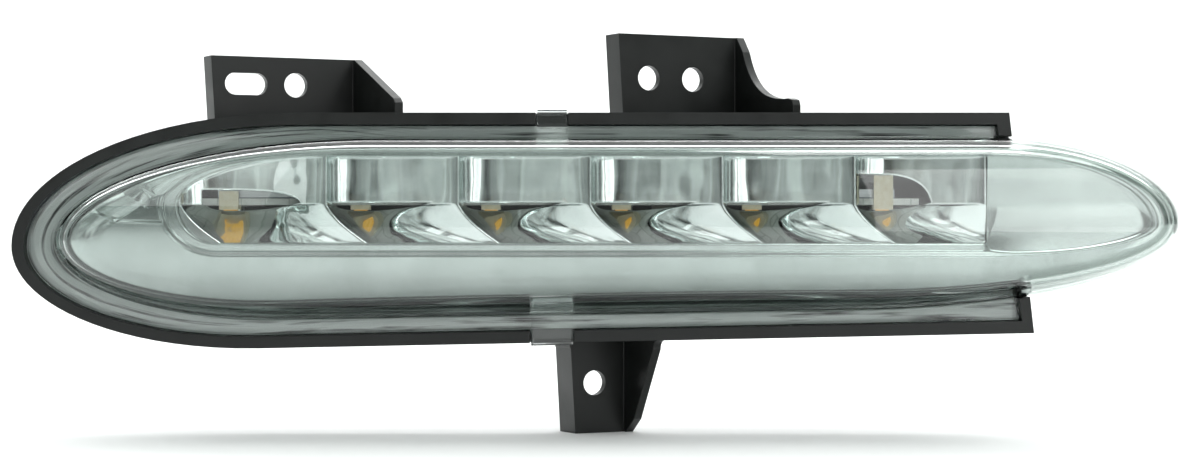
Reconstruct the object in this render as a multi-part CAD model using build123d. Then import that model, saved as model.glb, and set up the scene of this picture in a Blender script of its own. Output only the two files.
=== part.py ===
from build123d import *
import math
import os

# A daytime running light for the front of a car, in millimetres. X runs along
# the lamp, +Y goes back into the car and +Z is up. The plane y = 0 is the front
# of the lens flange. The origin is in the middle of the opening in the bumper.

# Foot of the clear lens: a pointed oval with a nose at each end
LENS_LEFT_X = -136.5
LENS_LEFT_Z = -4.5
LENS_BEYOND_WINDOW = 49.2
LENS_RIGHT_Z = -0.3
LENS_TOP_Z = 21.4
LENS_BOTTOM_LEFT_Z = -24.4
LENS_BOTTOM_RIGHT_Z = -22.0
NOSE_TOP_LEFT = 82.0
NOSE_TOP_RIGHT = 50.0
NOSE_BOTTOM_LEFT = 58.0
NOSE_BOTTOM_RIGHT = 80.0
NOSE_FULLNESS = 0.5523

# Walls of the dome lean in by these millimetres for each millimetre of height
LEAN_TOP = 0.10
LEAN_BOTTOM = 0.42
LEAN_END = 0.33
LENS_HEIGHT = 14.0
LENS_WALL = 2.0
LENS_EDGE_RADIUS = 3.5
CROWN_SECTION_RADIUS = 75.0
CROWN_PLAN_RADIUS = 2000.0
FLANGE_THICKNESS = 2.5

# Rim of the housing around the lens
RIM_BEYOND_LEFT = 10.2
RIM_BEYOND_TOP = 6.0
RIM_BEYOND_BOTTOM_LEFT = 7.0
RIM_BEYOND_BOTTOM_RIGHT = 5.6
RIM_TIP_DROP = 1.4
RIM_NOSE_TOP = 71.7
RIM_NOSE_BOTTOM = 61.7
RIM_END_BEYOND_WINDOW = 6.2
RIM_END_SLANT = 6.2
RIM_LIP = 3.0
RIM_PROUD = 2.0
RIM_CLEARANCE = 0.3
SEALANT_THICKNESS = 1.0
CHANNEL_FLOOR = 2.5
HOUSING_DEPTH = 36.0
HOUSING_WALL = 2.5
HOUSING_DRAFT = 3.0
END_WALL_FRONT = 1.5
RIB_THICKNESS = 1.6
RIB_LENGTH = 9.0
RIB_PITCH = 30.0

# Clear runner tabs that cross the rim
TAB_X = -12.0
TAB_TOP_WIDTH = 7.5
TAB_BOTTOM_WIDTH = 10.5
TAB_BEYOND = 0.8

# Silvered bezel under the lens
BEZEL_SIDE_GAP = 0.4
BEZEL_FRONT_GAP = 1.6
BEZEL_THICKNESS = 1.5
BEZEL_SEAT = 5.0
BEZEL_SEAT_CLEARANCE = 0.4
LEDGE_STEP = 1.2
LEDGE_TREAD = 1.2
LEDGE_BELOW = 3.2
LEDGE_LEFT = 4.5
LEDGE_ABOVE = 0.8
COLLAR_THICKNESS = 1.8
SPEAR_TIP_INSET = 7.0
SPEAR_DEPTH = 1.9
FACET_TOP_Z = 4.1
FACET_LOW_Z = -2.4
FACET_END = 0.7
WEDGE_LENGTH = 21.0
WEDGE_HEIGHT = 6.6
WEDGE_DEPTH = 1.3

# Row of mirror cells, each lit by one LED that shines down
LED_COUNT = 6
LED_PITCH = 32.8
LED_FROM_LEFT_TIP = 43.5
LED_LEFT_OF_CELL = 8.0
WINDOW_LEFT_MARGIN = 11.5
WINDOW_TOP_MARGIN = 5.3
WINDOW_HEIGHT = 21.2
WINDOW_NOSE_TOP = 36.0
WINDOW_NOSE_BOTTOM = 10.0
MIRROR_FRONT = -3.8
MIRROR_WALL = 1.6
MIRROR_FLANGE = 2.0
MIRROR_FLANGE_WIDTH = 2.6
MIRROR_CLEARANCE = 0.3
UPPER_DEPTH = 4.7
LOWER_DEPTH = 12.6
LOWER_LIP_DEPTH = 1.6
RIDGE_WIDTH = 0.9
RIDGE_SWEEP = 10.7
BOARD_DROP = 11.7
SLOT_MARGIN = 1.6
LED_SLOT_LENGTH = 25.0
LAST_SLOT_LENGTH = 18.0
SLOT_SAG = 1.5
SLOT_RISE = 0.5
FIRST_SLOT_RISE = 3.7
LAST_SLOT_RISE = 7.6

# Light board, heat sink and small parts on the board
BOARD_THICKNESS = 1.6
BOARD_CLEARANCE = 0.6
BOARD_DEPTH = 16.0
BOARD_END_MARGIN = 9.0
SINK_END_MARGIN = 3.0
LED_WIDTH = 4.8
LED_DEPTH = 3.5
LED_HEIGHT = 1.2
LED_SETBACK = 2.2
LED_FACE = 1.2
LED_FACE_CLEARANCE = 0.3
PHOSPHOR_WIDTH = 3.2
PHOSPHOR_DEPTH = 2.2
PHOSPHOR_PROUD = 0.2
PAD_THICKNESS = 0.3
SINK_THICKNESS = 2.0
SINK_UPRIGHT = 4.2
SINK_BEYOND_BOARD = 3.0
BOARD_SCREW_SETBACK = 10.0
BOARD_SCREW_DIAMETER = 2.5
BOARD_SCREW_LENGTH = 8.4
BOARD_HEAD_HEIGHT = 1.8
BOARD_POST_DIAMETER = 6.0
POST_RIB = 1.6
POST_FLOOR = 1.0
SCREW_TIP_GAP = 0.5
CROSS_WIDTH = 0.7
CROSS_LENGTH = 2.8
CROSS_DEPTH = 0.8
PAD_SETBACK = 1.0
HEADER_DEPTH = 4.0
HEADER_HEIGHT = 3.6
HEADER_END = 2.5
CHIP_SIZE = (6.0, 5.0, 1.6)
DIODE_SIZE = (4.4, 2.6, 2.1)
RESISTOR_SIZE = (3.2, 1.6, 0.6)
RESISTOR_PITCH = 6.0
CAPACITOR_DIAMETER = 6.0
CAPACITOR_HEIGHT = 5.4
PART_EDGE = 0.7

# Three screws from the back hold mirror and bezel to the housing
TOWER_Z = -11.2
TOWER_SPACING = 74.0
TOWER_DIAMETER = 11.0
TOWER_BORE = 7.4
TOWER_FLOOR = 8.0
SCREW_DIAMETER = 3.0
SCREW_HOLE = 3.4
SCREW_REACH = 2.6
HEAD_DIAMETER = 5.6
HEAD_HEIGHT = 2.2
WASHER_THICKNESS = 0.8
POST_DIAMETER = 6.4
LUG_DIAMETER = 9.0
SEAL_CLEARANCE = 0.3

# Socket and vent on the back
SOCKET_Z = -1.0
SOCKET_WIDTH = 22.0
SOCKET_HEIGHT = 14.0
SOCKET_WALL = 1.8
SOCKET_LENGTH = 14.0
SOCKET_CORNER = 2.0
SOCKET_FLOOR_RISE = 1.0
LATCH_WIDTH = 6.0
LATCH_LENGTH = 3.0
LATCH_HEIGHT = 1.5
BLADE_WIDTH = 2.8
BLADE_THICKNESS = 0.8
BLADE_PITCH = 6.0
BLADE_OUT = 9.0
BLADE_IN = 3.0
WIRE_DIAMETER = 1.6
VENT_X = -60.0
VENT_Z = 0.0
VENT_DIAMETER = 8.0
VENT_BORE = 4.0
VENT_LENGTH = 6.0
CAP_DIAMETER = 13.0
CAP_TOP = 2.5
CAP_GAP = 1.2
CAP_ROUNDING = 1.2
CAP_SLOT = 1.2
MEMBRANE_THICKNESS = 0.4

# Brackets: plates turned away from the front, with a gusset to the rim
BRACKET_TURN = 27.0
BRACKET_WALL = 2.2
PLATE_LEAN = 0.06
BRACKET_HOLE = 6.4
UPPER_CORNER_SETBACK = 3.0
LOWER_CORNER_Y = 22.0
GUSSET_SETBACK = 1.0
GUSSET_FOOT = 3.0
GUSSET_CORNER = 1.2
GUSSET_TOP = 0.8
LEFT_CORNER_X = -65.1
LEFT_PLATE_WIDTH = 38.8
LEFT_TOP_Z = 43.0
LEFT_RETURN = 6.4
LEFT_HOLE_ALONG = 15.9
LEFT_SLOT_ALONG = 29.4
LEFT_HOLES_Z = 35.9
SLOT_LENGTH = 11.5
SLOT_HEIGHT = 5.7
RIGHT_CORNER_X = 35.6
RIGHT_PLATE_WIDTH = 34.5
RIGHT_TOP_Z = 48.8
RIGHT_RETURN = 7.5
RIGHT_SHOULDER = 4.0
RIGHT_HOLLOW = 9.6
RIGHT_HOLE_ALONG = 12.7
RIGHT_HOLE_SPACING = 13.0
RIGHT_HOLES_Z = 37.5
LOWER_CORNER_X = 6.2
LOWER_PLATE_WIDTH = 14.0
LOWER_END_Z = -54.1
LOWER_RETURN = 9.0
LOWER_GUSSET_ROOT = 16.0
LOWER_GUSSET_END = 5.5
LOWER_CHAMFER = 3.7
LOWER_ROUNDING = 2.5
LOWER_SHELF = 2.2
LOWER_HOLE_ALONG = 8.5
LOWER_HOLE_Z = -41.2

# Sizes that follow from those above
LED_FIRST_X = LENS_LEFT_X + LED_FROM_LEFT_TIP
LED_LAST_X = LED_FIRST_X + (LED_COUNT - 1) * LED_PITCH
WINDOW_LEFT = LED_FIRST_X - WINDOW_LEFT_MARGIN
WINDOW_RIGHT = LED_LAST_X + LED_PITCH - LED_LEFT_OF_CELL
LENS_RIGHT_X = WINDOW_RIGHT + LENS_BEYOND_WINDOW
RIM_END_TOP_X = WINDOW_RIGHT + RIM_END_BEYOND_WINDOW
RIM_END_BOTTOM_X = RIM_END_TOP_X + RIM_END_SLANT
RIM_LEFT_X = LENS_LEFT_X - RIM_BEYOND_LEFT
RIM_TIP_Z = LENS_LEFT_Z - RIM_TIP_DROP
RIM_TOP_Z = LENS_TOP_Z + RIM_BEYOND_TOP
RIM_BOTTOM_LEFT_Z = LENS_BOTTOM_LEFT_Z - RIM_BEYOND_BOTTOM_LEFT
RIM_BOTTOM_RIGHT_Z = LENS_BOTTOM_RIGHT_Z - RIM_BEYOND_BOTTOM_RIGHT
CHANNEL_Y = FLANGE_THICKNESS + SEALANT_THICKNESS
RIM_BACK = CHANNEL_Y + CHANNEL_FLOOR
GUSSET_FRONT_Y = RIM_BACK + GUSSET_SETBACK
BEZEL_INSET = LENS_WALL + BEZEL_SIDE_GAP
BEZEL_FRONT = LENS_WALL + BEZEL_FRONT_GAP
SEAT_INSET = BEZEL_INSET - BEZEL_SEAT_CLEARANCE
TUB_INSET = BEZEL_INSET + BEZEL_THICKNESS - BEZEL_SEAT_CLEARANCE
WALL_FRONT = -LENS_HEIGHT - 2.0
CROWN_Z = (LENS_TOP_Z + LENS_BOTTOM_RIGHT_Z) / 2
WINDOW_TOP = LENS_TOP_Z - WINDOW_TOP_MARGIN
WINDOW_BOTTOM = WINDOW_TOP - WINDOW_HEIGHT
BOARD_FRONT = MIRROR_FRONT + UPPER_DEPTH + MIRROR_WALL + BOARD_CLEARANCE
BOARD_BACK = BOARD_FRONT + BOARD_DEPTH
BOARD_SCREW_Y = BOARD_FRONT + BOARD_SCREW_SETBACK
LED_Y = BOARD_FRONT + LED_SETBACK
SINK_BACK = BOARD_BACK + SINK_BEYOND_BOARD
BOARD_Z = WINDOW_TOP - BOARD_DROP
BOARD_TOP = BOARD_Z + BOARD_THICKNESS
SINK_Z = BOARD_TOP + PAD_THICKNESS
SPEAR_TIP_X = LENS_RIGHT_X - SPEAR_TIP_INSET
TOWERS_X = (-TOWER_SPACING, 0.0, TOWER_SPACING)
LUG_BACK = MIRROR_FRONT + MIRROR_FLANGE
HEAD_SEAT = LUG_BACK + TOWER_FLOOR
TURN = math.radians(BRACKET_TURN)
SOCKET_X = LED_FIRST_X + (LED_COUNT + 1) / 2 * LED_PITCH
SOCKET_BACK = HOUSING_DEPTH + SOCKET_LENGTH
SOCKET_FLOOR = HOUSING_DEPTH + SOCKET_FLOOR_RISE
UPPER_CORNER_Y = HOUSING_DEPTH - UPPER_CORNER_SETBACK
SINK_TOP = SINK_Z + SINK_THICKNESS
BOARD_HOLE_END = SINK_TOP - BOARD_SCREW_LENGTH - SCREW_TIP_GAP
VENT_END = HOUSING_DEPTH + VENT_LENGTH


def at_depth(y):
    """Drawing plane that faces forwards at depth y, with local x along +X and local y up."""
    return Plane(origin=(0, y, 0), x_dir=(1, 0, 0), z_dir=(0, -1, 0))


def prism(sketch, front, back):
    """Straight block of a front-view shape between two depths."""
    return extrude(at_depth(back) * sketch, amount=back - front, dir=(0, -1, 0))


def rod(x, z, diameter, front, back):
    """Round rod that runs front to back."""
    return prism(Pos(x, z) * Circle(diameter / 2), front, back)


def box(x0, x1, y0, y1, z0, z1):
    """Block between two corners."""
    return Pos(x0, y0, z0) * Box(x1 - x0, y1 - y0, z1 - z0, align=(Align.MIN, Align.MIN, Align.MIN))


def quarter(start, corner, end):
    """Quarter of an ellipse from start to end that bulges towards the corner."""
    near_start = tuple(s + NOSE_FULLNESS * (c - s) for s, c in zip(start, corner))
    near_end = tuple(e + NOSE_FULLNESS * (c - e) for e, c in zip(end, corner))
    return Bezier(start, near_start, near_end, end)


def leaf(inset, height=0.0):
    """Pointed oval of the lens foot, drawn inset within it and height in front of it."""
    top = LENS_TOP_Z - inset - LEAN_TOP * height
    low_left = LENS_BOTTOM_LEFT_Z + inset + LEAN_BOTTOM * height
    low_right = LENS_BOTTOM_RIGHT_Z + inset + LEAN_BOTTOM * height
    left = (LENS_LEFT_X + inset + LEAN_END * height, LENS_LEFT_Z)
    right = (LENS_RIGHT_X - inset - LEAN_END * height, LENS_RIGHT_Z)
    top_left = (LENS_LEFT_X + NOSE_TOP_LEFT, top)
    top_right = (LENS_RIGHT_X - NOSE_TOP_RIGHT, top)
    bottom_left = (LENS_LEFT_X + NOSE_BOTTOM_LEFT, low_left)
    bottom_right = (LENS_RIGHT_X - NOSE_BOTTOM_RIGHT, low_right)
    slope = (low_right - low_left) / (bottom_right[0] - bottom_left[0])
    corner_left = (left[0], low_left - slope * (bottom_left[0] - left[0]))
    corner_right = (right[0], low_right + slope * (right[0] - bottom_right[0]))
    return make_face(
        [
            quarter(left, (left[0], top), top_left),
            Line(top_left, top_right),
            quarter(top_right, (right[0], top), right),
            quarter(right, corner_right, bottom_right),
            Line(bottom_right, bottom_left),
            quarter(bottom_left, corner_left, left),
        ]
    )


def bullet(inset):
    """Outline of the housing rim, drawn inset within it: a nose on the left, a slanted end on the right."""
    top = RIM_TOP_Z - inset
    low_left = RIM_BOTTOM_LEFT_Z + inset
    low_right = RIM_BOTTOM_RIGHT_Z + inset
    left = (RIM_LEFT_X + inset, RIM_TIP_Z)
    top_left = (RIM_LEFT_X + RIM_NOSE_TOP, top)
    bottom_left = (RIM_LEFT_X + RIM_NOSE_BOTTOM, low_left)
    top_right = (RIM_END_TOP_X - inset, top)
    bottom_right = (RIM_END_BOTTOM_X - inset, low_right)
    slope = (low_right - low_left) / (bottom_right[0] - bottom_left[0])
    corner = (left[0], low_left - slope * (bottom_left[0] - left[0]))
    return make_face(
        [
            quarter(left, (left[0], top), top_left),
            Line(top_left, top_right),
            Line(top_right, bottom_right),
            Line(bottom_right, bottom_left),
            quarter(bottom_left, corner, left),
        ]
    )


def end_x(z, inset):
    """Place of the slanted right end at height z, drawn inset to the left of it."""
    along = (RIM_TOP_Z - z) / (RIM_TOP_Z - RIM_BOTTOM_RIGHT_Z)
    return RIM_END_TOP_X + along * (RIM_END_BOTTOM_X - RIM_END_TOP_X) - inset


def left_of_end(inset, front=-60.0, back=100.0):
    """Large block of everything to the left of the slanted end."""
    high = RIM_TOP_Z + 60.0
    low = RIM_BOTTOM_LEFT_Z - 60.0
    far = RIM_LEFT_X - 60.0
    corners = [(far, low), (end_x(low, inset), low), (end_x(high, inset), high), (far, high)]
    return prism(Polygon(*corners, align=None), front, back)


def crown(inset):
    """Everything behind a face that bows both ways, inset behind the front of the lens."""
    radius = CROWN_SECTION_RADIUS - inset
    apex = inset - LENS_HEIGHT
    half = 0.8 * radius
    edge = apex + radius - math.sqrt(radius**2 - half**2)
    back = edge + 40.0
    top = CROWN_Z + half
    bottom = CROWN_Z - half
    bow = ThreePointArc((edge, top), (apex, CROWN_Z), (edge, bottom))
    sides = Polyline((edge, bottom), (back, bottom), (back, top), (edge, top))
    profile = Plane.YZ * make_face([bow, sides])
    axis = Axis((0, CROWN_PLAN_RADIUS - LENS_HEIGHT, 0), (0, 0, 1))
    swing = math.degrees(1.3 * LENS_RIGHT_X / CROWN_PLAN_RADIUS)
    return revolve(profile.rotate(axis, -swing), axis=axis, revolution_arc=2 * swing)


def dome(inset, depth):
    """Leaning walls inside the lens outline, closed by the bowed front."""
    foot = at_depth(0) * leaf(inset)
    head = at_depth(WALL_FRONT) * leaf(inset, -WALL_FRONT)
    return loft([foot, head], ruled=True) & crown(depth)


def soften(body, radius):
    """Round the edge of the frontmost face."""
    face = body.faces().sort_by(Axis.Y)[0]
    return fillet(face.edges(), radius)


def outer_lens():
    """Clear cover: a dome with a flat flange and two runner tabs."""
    shell = soften(dome(0, 0), LENS_EDGE_RADIUS)
    shell += prism(leaf(0) + bullet(RIM_LIP + RIM_CLEARANCE), 0, FLANGE_THICKNESS)
    for width, inner, outer in tabs():
        tab = Pos(TAB_X, (inner + outer) / 2) * Rectangle(width, abs(outer - inner))
        shell += prism(tab, 0, FLANGE_THICKNESS)
    shell -= soften(dome(LENS_WALL, LENS_WALL), LENS_EDGE_RADIUS - LENS_WALL)
    return shell - prism(leaf(LENS_WALL), -0.01, FLANGE_THICKNESS)


def rim_low(x):
    """Height of the rim's lower edge at x."""
    start = RIM_LEFT_X + RIM_NOSE_BOTTOM
    share = (x - start) / (RIM_END_BOTTOM_X - start)
    return RIM_BOTTOM_LEFT_Z + share * (RIM_BOTTOM_RIGHT_Z - RIM_BOTTOM_LEFT_Z)


def tabs():
    """Width, inner height and outer height of each runner tab."""
    bottom = rim_low(TAB_X)
    inside = RIM_LIP + 2.0
    return [
        (TAB_TOP_WIDTH, RIM_TOP_Z - inside, RIM_TOP_Z + TAB_BEYOND),
        (TAB_BOTTOM_WIDTH, bottom + inside, bottom - TAB_BEYOND),
    ]


def lens_sealant():
    """Bead between the lens flange and the floor of the channel."""
    strip = bullet(RIM_LIP + RIM_CLEARANCE) - leaf(SEAT_INSET)
    return prism(strip, FLANGE_THICKNESS, CHANNEL_Y)


def end_sealant():
    """Short bead between the housing's end wall and the rib under the bezel."""
    bar = prism(leaf(BEZEL_INSET), END_WALL_FRONT - SEALANT_THICKNESS, END_WALL_FRONT)
    return bar & (left_of_end(0) - left_of_end(HOUSING_WALL))


def along(corner, u, s, z=0.0):
    """Point u to the left along a bracket plate and s forwards along its gusset."""
    x = corner[0] - u * math.cos(TURN) + s * math.sin(TURN)
    y = corner[1] - u * math.sin(TURN) - s * math.cos(TURN)
    return (x, y, z)


def plate_plane(corner):
    """Plane on the front of a bracket plate, local x to the left and local y up."""
    facing = (-math.sin(TURN), math.cos(TURN), 0)
    return Plane(origin=(*corner, 0), x_dir=(-math.cos(TURN), -math.sin(TURN), 0), z_dir=facing)


def gusset_plane(corner):
    """Plane on the left of a gusset, local x forwards and local y up."""
    facing = (-math.cos(TURN), -math.sin(TURN), 0)
    return Plane(origin=(*corner, 0), x_dir=(math.sin(TURN), -math.cos(TURN), 0), z_dir=facing)


def bracket(corner, width, end, back_flange, holes, profile):
    """Turned plate up to an end height, with a return on the left and a gusset on the right."""
    backwards = (-math.sin(TURN), math.cos(TURN), 0)
    rightwards = (math.cos(TURN), math.sin(TURN), 0)
    root = width - PLATE_LEAN * end
    plate = Polygon((-BRACKET_WALL, 0), (root, 0), (width, end), (-BRACKET_WALL, end), align=None)
    fold = Polygon(
        (root - BRACKET_WALL, 0), (root, 0), (width, end), (width - BRACKET_WALL, end), align=None
    )
    body = extrude(plate_plane(corner) * (plate - holes), amount=BRACKET_WALL, dir=backwards)
    body += extrude(plate_plane(corner) * fold, amount=back_flange, dir=backwards)
    return body + extrude(gusset_plane(corner) * profile, amount=BRACKET_WALL, dir=rightwards)


def upper_left_bracket():
    """Bracket with a round hole and a slot, and a gusset with a straight slope."""
    corner = (LEFT_CORNER_X, UPPER_CORNER_Y)
    holes = Pos(LEFT_HOLE_ALONG, LEFT_HOLES_Z) * Circle(BRACKET_HOLE / 2)
    holes += Pos(LEFT_SLOT_ALONG, LEFT_HOLES_Z) * SlotOverall(SLOT_LENGTH, SLOT_HEIGHT)
    reach = (UPPER_CORNER_Y - GUSSET_FRONT_Y) / math.cos(TURN)
    foot = RIM_TOP_Z + GUSSET_FOOT
    profile = Polygon(
        (-BRACKET_WALL, 0),
        (reach, 0),
        (reach, foot),
        (reach - GUSSET_CORNER, foot + GUSSET_CORNER),
        (GUSSET_TOP, LEFT_TOP_Z),
        (-BRACKET_WALL, LEFT_TOP_Z),
        align=None,
    )
    return bracket(corner, LEFT_PLATE_WIDTH, LEFT_TOP_Z, LEFT_RETURN, holes, profile)


def upper_right_bracket():
    """Taller bracket with two round holes and a gusset with a hollow slope."""
    corner = (RIGHT_CORNER_X, UPPER_CORNER_Y)
    second = RIGHT_HOLE_ALONG + RIGHT_HOLE_SPACING
    holes = Pos(RIGHT_HOLE_ALONG, RIGHT_HOLES_Z) * Circle(BRACKET_HOLE / 2)
    holes += Pos(second, RIGHT_HOLES_Z) * Circle(BRACKET_HOLE / 2)
    reach = (UPPER_CORNER_Y - GUSSET_FRONT_Y) / math.cos(TURN)
    foot = RIM_TOP_Z + GUSSET_FOOT
    shoulder = (RIGHT_SHOULDER, RIGHT_TOP_Z - RIGHT_SHOULDER)
    toe = (reach - 2 * GUSSET_CORNER, foot + GUSSET_CORNER)
    near_shoulder = (0.24 * reach, RIM_TOP_Z + RIGHT_HOLLOW)
    near_toe = (0.45 * reach, foot + 0.6 * GUSSET_CORNER)
    hollow = Bezier(shoulder, near_shoulder, near_toe, toe)
    rest = Polyline(
        toe,
        (reach - GUSSET_CORNER / 2, foot + 0.6 * GUSSET_CORNER),
        (reach, foot - GUSSET_CORNER / 2),
        (reach, 0),
        (-BRACKET_WALL, 0),
        (-BRACKET_WALL, RIGHT_TOP_Z),
        (GUSSET_TOP, RIGHT_TOP_Z),
        shoulder,
    )
    profile = make_face([hollow, rest])
    return bracket(corner, RIGHT_PLATE_WIDTH, RIGHT_TOP_Z, RIGHT_RETURN, holes, profile)


def lower_bracket():
    """Narrow bracket with one round hole that hangs from a shelf behind the rim, rounded into it."""
    corner = (LOWER_CORNER_X, LOWER_CORNER_Y)
    holes = Pos(LOWER_HOLE_ALONG, LOWER_HOLE_Z) * Circle(BRACKET_HOLE / 2)
    reach = (LOWER_CORNER_Y - GUSSET_FRONT_Y) / math.cos(TURN)
    under = rim_low(LOWER_CORNER_X)
    root = (reach + LOWER_ROUNDING, under)
    waist = (LOWER_GUSSET_ROOT, under - LOWER_ROUNDING)
    flare = Bezier(root, (LOWER_GUSSET_ROOT + 0.1, under), waist)
    rest = Polyline(
        waist,
        (LOWER_GUSSET_END, LOWER_END_Z + LOWER_CHAMFER),
        (GUSSET_TOP, LOWER_END_Z),
        (-BRACKET_WALL, LOWER_END_Z),
        (-BRACKET_WALL, 0),
        (root[0], 0),
        root,
    )
    profile = make_face([flare, rest])
    body = bracket(corner, LOWER_PLATE_WIDTH, LOWER_END_Z, LOWER_RETURN, holes, profile)
    edge = LOWER_PLATE_WIDTH + PLATE_LEAN * (under - LOWER_END_Z)
    middle = (edge + LOWER_ROUNDING, under - LOWER_ROUNDING)
    inside = edge - BRACKET_WALL / 2
    web = Polygon((inside, under), (middle[0], under), middle, (inside, middle[1]), align=None)
    web -= Pos(*middle) * Circle(LOWER_ROUNDING)
    backwards = (-math.sin(TURN), math.cos(TURN), 0)
    body += extrude(plate_plane(corner) * web, amount=LOWER_RETURN, dir=backwards)
    left = along(corner, middle[0], 0)[0] - LOWER_RETURN * math.sin(TURN)
    right = along(corner, 0, root[0])[0] + BRACKET_WALL
    back = LOWER_CORNER_Y + LOWER_ROUNDING
    return body + box(left, right, RIM_BACK - 1.0, back, under, under + LOWER_SHELF)


def tub(inset, front, back):
    """Block inside the lens outline that narrows towards the back."""
    narrow = HOUSING_DRAFT * (back - front) / HOUSING_DEPTH
    wide_face = at_depth(front) * leaf(inset)
    narrow_face = at_depth(back) * leaf(inset + narrow)
    return loft([wide_face, narrow_face], ruled=True)


def rim_ribs():
    """Row of stiffening ribs between the back of the rim and the tub."""
    first = RIM_LEFT_X + RIM_NOSE_TOP
    count = int((RIM_END_TOP_X - 12.0 - first) // RIB_PITCH)
    ribs = []
    for i in range(count + 1):
        x = first + i * RIB_PITCH
        for edge in (RIM_TOP_Z - RIM_CLEARANCE, rim_low(x) + RIM_CLEARANCE):
            corners = [(RIM_BACK - 1.0, edge), (RIM_BACK - 1.0, 0), (RIM_BACK + RIB_LENGTH, 0)]
            inner = LENS_TOP_Z - TUB_INSET if edge > 0 else LENS_BOTTOM_RIGHT_Z + TUB_INSET
            corners += [(RIM_BACK + RIB_LENGTH, inner), (RIM_BACK, edge)]
            side = Plane.YZ * Polygon(*corners, align=None)
            rib = extrude(side, amount=RIB_THICKNESS, dir=(1, 0, 0))
            ribs.append(Pos(x - RIB_THICKNESS / 2, 0, 0) * rib)
    return ribs


def socket_sketch(wall):
    """Rounded rectangle of the socket, wall thicker than its hollow."""
    width = SOCKET_WIDTH - 2 * SOCKET_WALL + 2 * wall
    height = SOCKET_HEIGHT - 2 * SOCKET_WALL + 2 * wall
    return Pos(SOCKET_X, SOCKET_Z) * RectangleRounded(width, height, SOCKET_CORNER)


def blade_places():
    """Places of the three blades across the socket."""
    return [SOCKET_X + (i - 1) * BLADE_PITCH for i in range(3)]


def blade_sketch(x):
    """Section of one blade."""
    return Pos(x, SOCKET_Z) * Rectangle(BLADE_WIDTH, BLADE_THICKNESS)


def socket_latch():
    """Small catch on top of the socket."""
    left = SOCKET_X - LATCH_WIDTH / 2
    back = SOCKET_BACK - LATCH_LENGTH
    top = SOCKET_Z + SOCKET_HEIGHT / 2 + LATCH_HEIGHT
    return box(left, left + LATCH_WIDTH, back - LATCH_LENGTH, back, top - 1.1 * LATCH_HEIGHT, top)


def housing():
    """Black moulding: tub, rim with channel, brackets, screw towers, socket and vent spigot."""
    body = prism(bullet(0), -RIM_PROUD, RIM_BACK)
    body += tub(TUB_INSET - HOUSING_WALL, RIM_BACK - 1.0, HOUSING_DEPTH) & left_of_end(0)
    body += rim_ribs()
    body += [upper_left_bracket(), upper_right_bracket(), lower_bracket()]
    body -= prism(bullet(RIM_LIP), -RIM_PROUD - 1.0, CHANNEL_Y)
    body -= prism(leaf(-RIM_CLEARANCE), -RIM_PROUD - 1.0, CHANNEL_Y)
    end_wall = prism(leaf(SEAT_INSET), END_WALL_FRONT, CHANNEL_Y)
    body += end_wall & (left_of_end(0) - left_of_end(HOUSING_WALL))
    cavity = prism(leaf(SEAT_INSET), -1.0, BEZEL_SEAT)
    cavity += tub(TUB_INSET, BEZEL_SEAT, HOUSING_DEPTH - HOUSING_WALL)
    body -= cavity & left_of_end(HOUSING_WALL)
    for width, inner, outer in tabs():
        notch = Pos(TAB_X, (inner + outer) / 2)
        notch *= Rectangle(width + 2 * RIM_CLEARANCE, abs(outer - inner) + 2.0)
        body -= prism(notch, -RIM_PROUD - 1.0, CHANNEL_Y)
    for x in TOWERS_X:
        body += rod(x, TOWER_Z, TOWER_DIAMETER, LUG_BACK, HOUSING_DEPTH)
    for x in TOWERS_X:
        body -= rod(x, TOWER_Z, SCREW_HOLE, LUG_BACK - 1.0, HEAD_SEAT + 1.0)
        body -= rod(x, TOWER_Z, TOWER_BORE, HEAD_SEAT, HOUSING_DEPTH + 1.0)
    body += prism(socket_sketch(SOCKET_WALL), HOUSING_DEPTH - 1.0, SOCKET_BACK)
    body += socket_latch()
    body -= prism(socket_sketch(0), SOCKET_FLOOR, SOCKET_BACK + 1.0)
    for x in blade_places():
        body -= prism(blade_sketch(x), HOUSING_DEPTH - HOUSING_WALL - 1.0, SOCKET_FLOOR + 1.0)
    body += rod(VENT_X, VENT_Z, VENT_DIAMETER, HOUSING_DEPTH - 1.0, VENT_END)
    body -= rod(VENT_X, VENT_Z, VENT_BORE, HOUSING_DEPTH - HOUSING_WALL - 1.0, VENT_END + 1.0)
    return body


def window(grow=0.0, right_grow=None):
    """Outline of the opening over the mirror cells, grown outwards: round on the left."""
    left = (WINDOW_LEFT - grow, BOARD_Z)
    top = WINDOW_TOP + grow
    bottom = WINDOW_BOTTOM - grow
    right = WINDOW_RIGHT + (grow if right_grow is None else right_grow)
    top_left = (WINDOW_LEFT + WINDOW_NOSE_TOP, top)
    bottom_left = (WINDOW_LEFT + WINDOW_NOSE_BOTTOM, bottom)
    return make_face(
        [
            quarter(left, (left[0], top), top_left),
            Polyline(top_left, (right, top), (right, bottom), bottom_left),
            quarter(bottom_left, (left[0], bottom), left),
        ]
    )


def ledge(grow=0.0):
    """Outline of the step around the window, wider below and on the left."""
    left = (WINDOW_LEFT - LEDGE_LEFT - grow, BOARD_Z)
    top = WINDOW_TOP + LEDGE_ABOVE + grow
    bottom = WINDOW_BOTTOM - LEDGE_BELOW - grow
    right = WINDOW_RIGHT + grow
    top_left = (WINDOW_LEFT + WINDOW_NOSE_TOP, top)
    bottom_left = (WINDOW_LEFT + WINDOW_NOSE_BOTTOM, bottom)
    return make_face(
        [
            quarter(left, (left[0], top), top_left),
            Polyline(top_left, (right, top), (right, bottom), bottom_left),
            quarter(bottom_left, (left[0], bottom), left),
        ]
    )


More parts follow.
